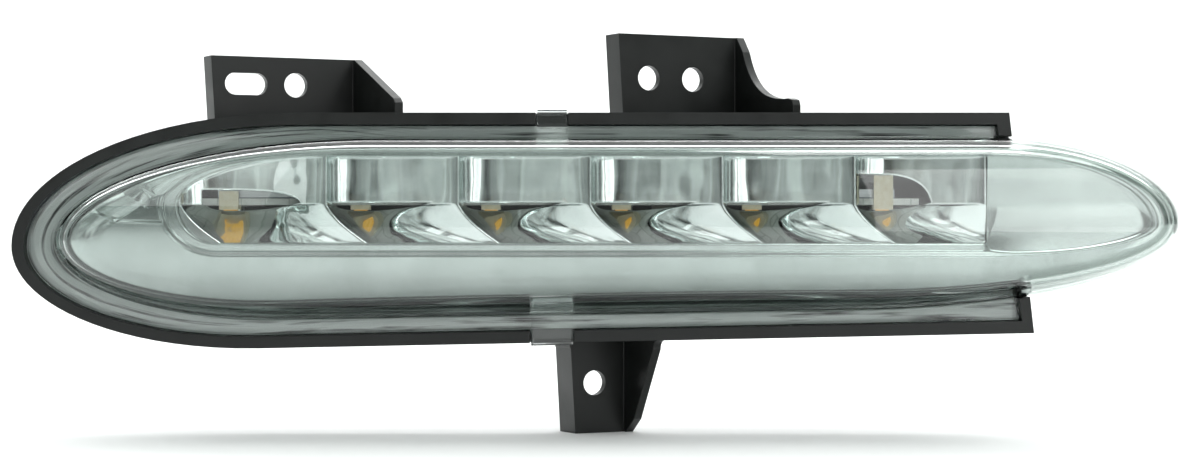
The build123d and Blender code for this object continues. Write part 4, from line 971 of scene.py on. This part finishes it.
# %% Rubber, plastic and resin
rubber, *_ = start_finish(
    "rubber_vulcanised", "#101111", "#232524", 2.5, (0.6, 0.8), (0.4, 0.06, 0.4), IOR=1.52
)
dress(rubber, "screw_seals", "vent_cap")
nylon, *_ = start_finish(
    "nylon_moulded",
    "#d6d5ca",
    "#e3e2d9",
    2.0,
    (0.38, 0.5),
    (0.5, 0.03, 0.3),
    IOR=1.53,
    Subsurface_Weight=0.15,
    Subsurface_Radius=(0.8 * MM, 0.7 * MM, 0.5 * MM),
)
dress(nylon, "board_header")
sleeve, *_ = start_finish(
    "wire_sleeve_extruded",
    "#111113",
    "#212225",
    2.0,
    (0.34, 0.48),
    (0.6, 0.04, 0.3),
    (1.0, 0.2, 1.0),
    IOR=1.53,
)
dress(sleeve, "lead_wires")
resin, *_ = start_finish(
    "epoxy_resin_moulded", "#121315", "#2c2d2f", 0.35, (0.42, 0.6), (0.35, 0.03, 0.4), IOR=1.55
)
dress(resin, "driver_chip", "protection_diode", "power_resistors")

# %% [markdown]
# Two sheets are left. The weave of the pad is a Wave texture, whose bands repeat about
# 6.3 times for each unit of scale, so its scale is divided by that to give 1 mm.

# %% Pad and membrane
BANDS_PER_SCALE = 6.3
gap_pad, tree, shader, place = start_finish(
    "silicone_pad_on_glass_cloth", "#7f878f", "#99a1a8", 2.0, (0.6, 0.75), IOR=1.41
)
cloth = add(
    tree,
    "ShaderNodeTexWave",
    {"Scale": per_metre(1.0) / BANDS_PER_SCALE, "Distortion": 0.5},
    {"Vector": place},
)
relief = add(
    tree,
    "ShaderNodeBump",
    {"Strength": 0.4, "Distance": 0.1 * MM},
    {"Height": cloth.outputs["Fac"]},
)
tree.links.new(relief.outputs["Normal"], shader.inputs["Normal"])
dress(gap_pad, "thermal_pad")
felt, *_ = start_finish(
    "fluoropolymer_felt_stretched",
    "#d9dad8",
    "#f0f0ee",
    0.4,
    (0.8, 0.95),
    (0.4, 0.08, 0.6),
    (0.4, 1.0, 1.0),
    IOR=1.35,
)
dress(felt, "vent_membrane")

# %% [markdown]
# The lamp stands on one sheet of matt white paper that curves up far behind it, so that
# no horizon shows. A sheet bent along a quarter circle is quickest as a profile of points
# repeated across. Its white fills the lower half of the silver with light.

# %% Stage
FLOOR_Z = CAD_BOX[0][2]
SHEET_REACH, SHEET_HEIGHT = 2.6, 3.0
BEND_START, BEND_RADIUS = 1.9, 0.7
bend = np.linspace(0.0, math.pi / 2, 24)
curve_y = BEND_START + BEND_RADIUS * np.sin(bend)
curve_z = BEND_RADIUS - BEND_RADIUS * np.cos(bend)
profile_y = np.concatenate([[-SHEET_REACH], curve_y, [SHEET_REACH]])
profile_z = np.concatenate([[0.0], curve_z, [SHEET_HEIGHT]]) + FLOOR_Z
across = np.linspace(-SHEET_REACH, SHEET_REACH, 5)
sheet = np.stack(np.broadcast_arrays(across[:, None], profile_y, profile_z), axis=-1)
faces = grid_faces(*sheet.shape[:2], 0, False)
mesh = bpy.data.meshes.new("paper_sweep")
mesh.from_pydata(sheet.reshape(-1, 3).tolist(), [], faces.tolist())
mesh.polygons.foreach_set("use_smooth", np.ones(len(mesh.polygons), bool))
paper, *_ = start_finish("paper_matt_white", "#f1f2f2", "#f4f5f5", 40.0, (0.85, 0.95))
mesh.materials.append(paper)
sweep = bpy.data.objects.new("paper_sweep", mesh)
bpy.context.scene.collection.objects.link(sweep)
print("floor at", FLOOR_Z)

# %% [markdown]
# Polished mirrors show whatever stands in front of them, so an empty room would leave them
# blank. The world is therefore dim straight ahead, lighter to both sides and overhead, and
# a coarse noise breaks it up as furniture would. The camera itself sees a plain pale room.

# %% Room
world = bpy.data.worlds.new("studio")
world.use_nodes = True
room = world.node_tree
look = add(room, "ShaderNodeTexCoord").outputs["Generated"]
axes = add(room, "ShaderNodeSeparateXYZ", links={"Vector": look}).outputs
aside = add(room, "ShaderNodeMath", links={0: axes["X"]}, operation="ABSOLUTE").outputs["Value"]
from_sides = add(
    room,
    "ShaderNodeMapRange",
    {"From Min": 0.05, "From Max": 0.3, "To Min": 0.2, "To Max": 0.54},
    {"Value": aside},
).outputs["Result"]
from_above = add(
    room,
    "ShaderNodeMapRange",
    {"From Min": 0.3, "From Max": 0.9, "To Max": 0.4},
    {"Value": axes["Z"]},
).outputs["Result"]
level = add(room, "ShaderNodeMath", links={0: from_sides, 1: from_above}, operation="ADD")
clutter = add(room, "ShaderNodeTexNoise", {"Scale": 5.0, "Detail": 2.0}, {"Vector": look})
uneven = add(
    room,
    "ShaderNodeMapRange",
    {"From Min": 0.35, "From Max": 0.65, "To Min": 0.15, "To Max": 1.85},
    {"Value": clutter.outputs["Fac"]},
)
furnished = add(
    room,
    "ShaderNodeMath",
    links={0: level.outputs["Value"], 1: uneven.outputs["Result"]},
    operation="MULTIPLY",
)
seen = add(room, "ShaderNodeLightPath").outputs["Is Camera Ray"]
strength = add(
    room,
    "ShaderNodeMapRange",
    {"To Max": 0.85},
    {"Value": seen, "To Min": furnished.outputs["Value"]},
)
background = room.nodes["Background"].inputs
room.links.new(strength.outputs["Result"], background["Strength"])
background["Color"].default_value = (0.94, 1.0, 0.97, 1.0)
bpy.context.scene.world = world
print("room has", len(room.nodes), "nodes")

# %% [markdown]
# A wide soft light hangs overhead. Two strips at the sides draw narrow highlights, and two
# cards stand where the silver of the two noses reflects them. A third card lights the
# paper in front of the right nose, and one lamp brightens the paper behind.


# %% Lights
def soft_box(name, place, aim, size, power):
    """Rectangular soft light at a place, turned towards a point."""
    data = bpy.data.lights.new(name, "AREA")
    data.shape = "RECTANGLE"
    data.size, data.size_y = size
    data.energy = power
    lamp = bpy.data.objects.new(name, data)
    bpy.context.scene.collection.objects.link(lamp)
    lamp.location = place
    lamp.rotation_euler = (Vector(aim) - Vector(place)).to_track_quat("-Z", "Y").to_euler()
    print(name, power, "W")


soft_box("top_light", (0.0, 0.4, 1.0), (0, 0, 0), (2.0, 1.1), 10.0)
soft_box("left_strip", (-0.8, -0.85, 0.12), (0, 0, 0), (0.1, 0.8), 0.2)
soft_box("right_strip", (0.75, -0.9, 0.12), (0, 0, 0), (0.14, 0.8), 0.7)
soft_box("right_card", (0.42, -0.95, 0.1), (0.12, 0, 0), (0.36, 0.6), 1.15)
soft_box("left_card", (-0.43, -0.9, 0.3), (-0.12, 0, 0), (0.3, 0.36), 0.34)
soft_box("low_card", (0.3, -0.6, 0.6), (0.2, -0.32, FLOOR_Z), (0.4, 0.3), 2.2)
soft_box("backdrop_light", (0.0, 1.2, 1.9), (0, 2.3, 0.2), (4.4, 0.6), 60.0)

# %% [markdown]
# The camera stands straight in front, a little below the lamp's middle, with a 72 mm lens
# on a 36 mm sensor. At 0.6 m that makes the picture 0.3 m wide, as in the photograph. Light
# that goes through the cover, off the mirrors and out again needs many bounces.

# %% Camera
CAMERA_DISTANCE = 0.6
CAMERA_Z = -0.00275
FRAME_WIDTH = 0.3
camera_data = bpy.data.cameras.new("camera")
camera_data.sensor_fit = "HORIZONTAL"
camera_data.sensor_width = 36.0
camera_data.lens = camera_data.sensor_width * CAMERA_DISTANCE / FRAME_WIDTH
camera = bpy.data.objects.new("camera", camera_data)
bpy.context.scene.collection.objects.link(camera)
camera.location = (0.0, -CAMERA_DISTANCE, CAMERA_Z)
camera.rotation_euler = (math.pi / 2, 0.0, 0.0)
scene = bpy.context.scene
scene.camera = camera
scene.view_settings.view_transform = "Standard"
scene.cycles.max_bounces = 24
scene.cycles.transmission_bounces = 16
scene.cycles.glossy_bounces = 16
scene.cycles.use_denoising = True
print("lens", camera_data.lens, "mm")
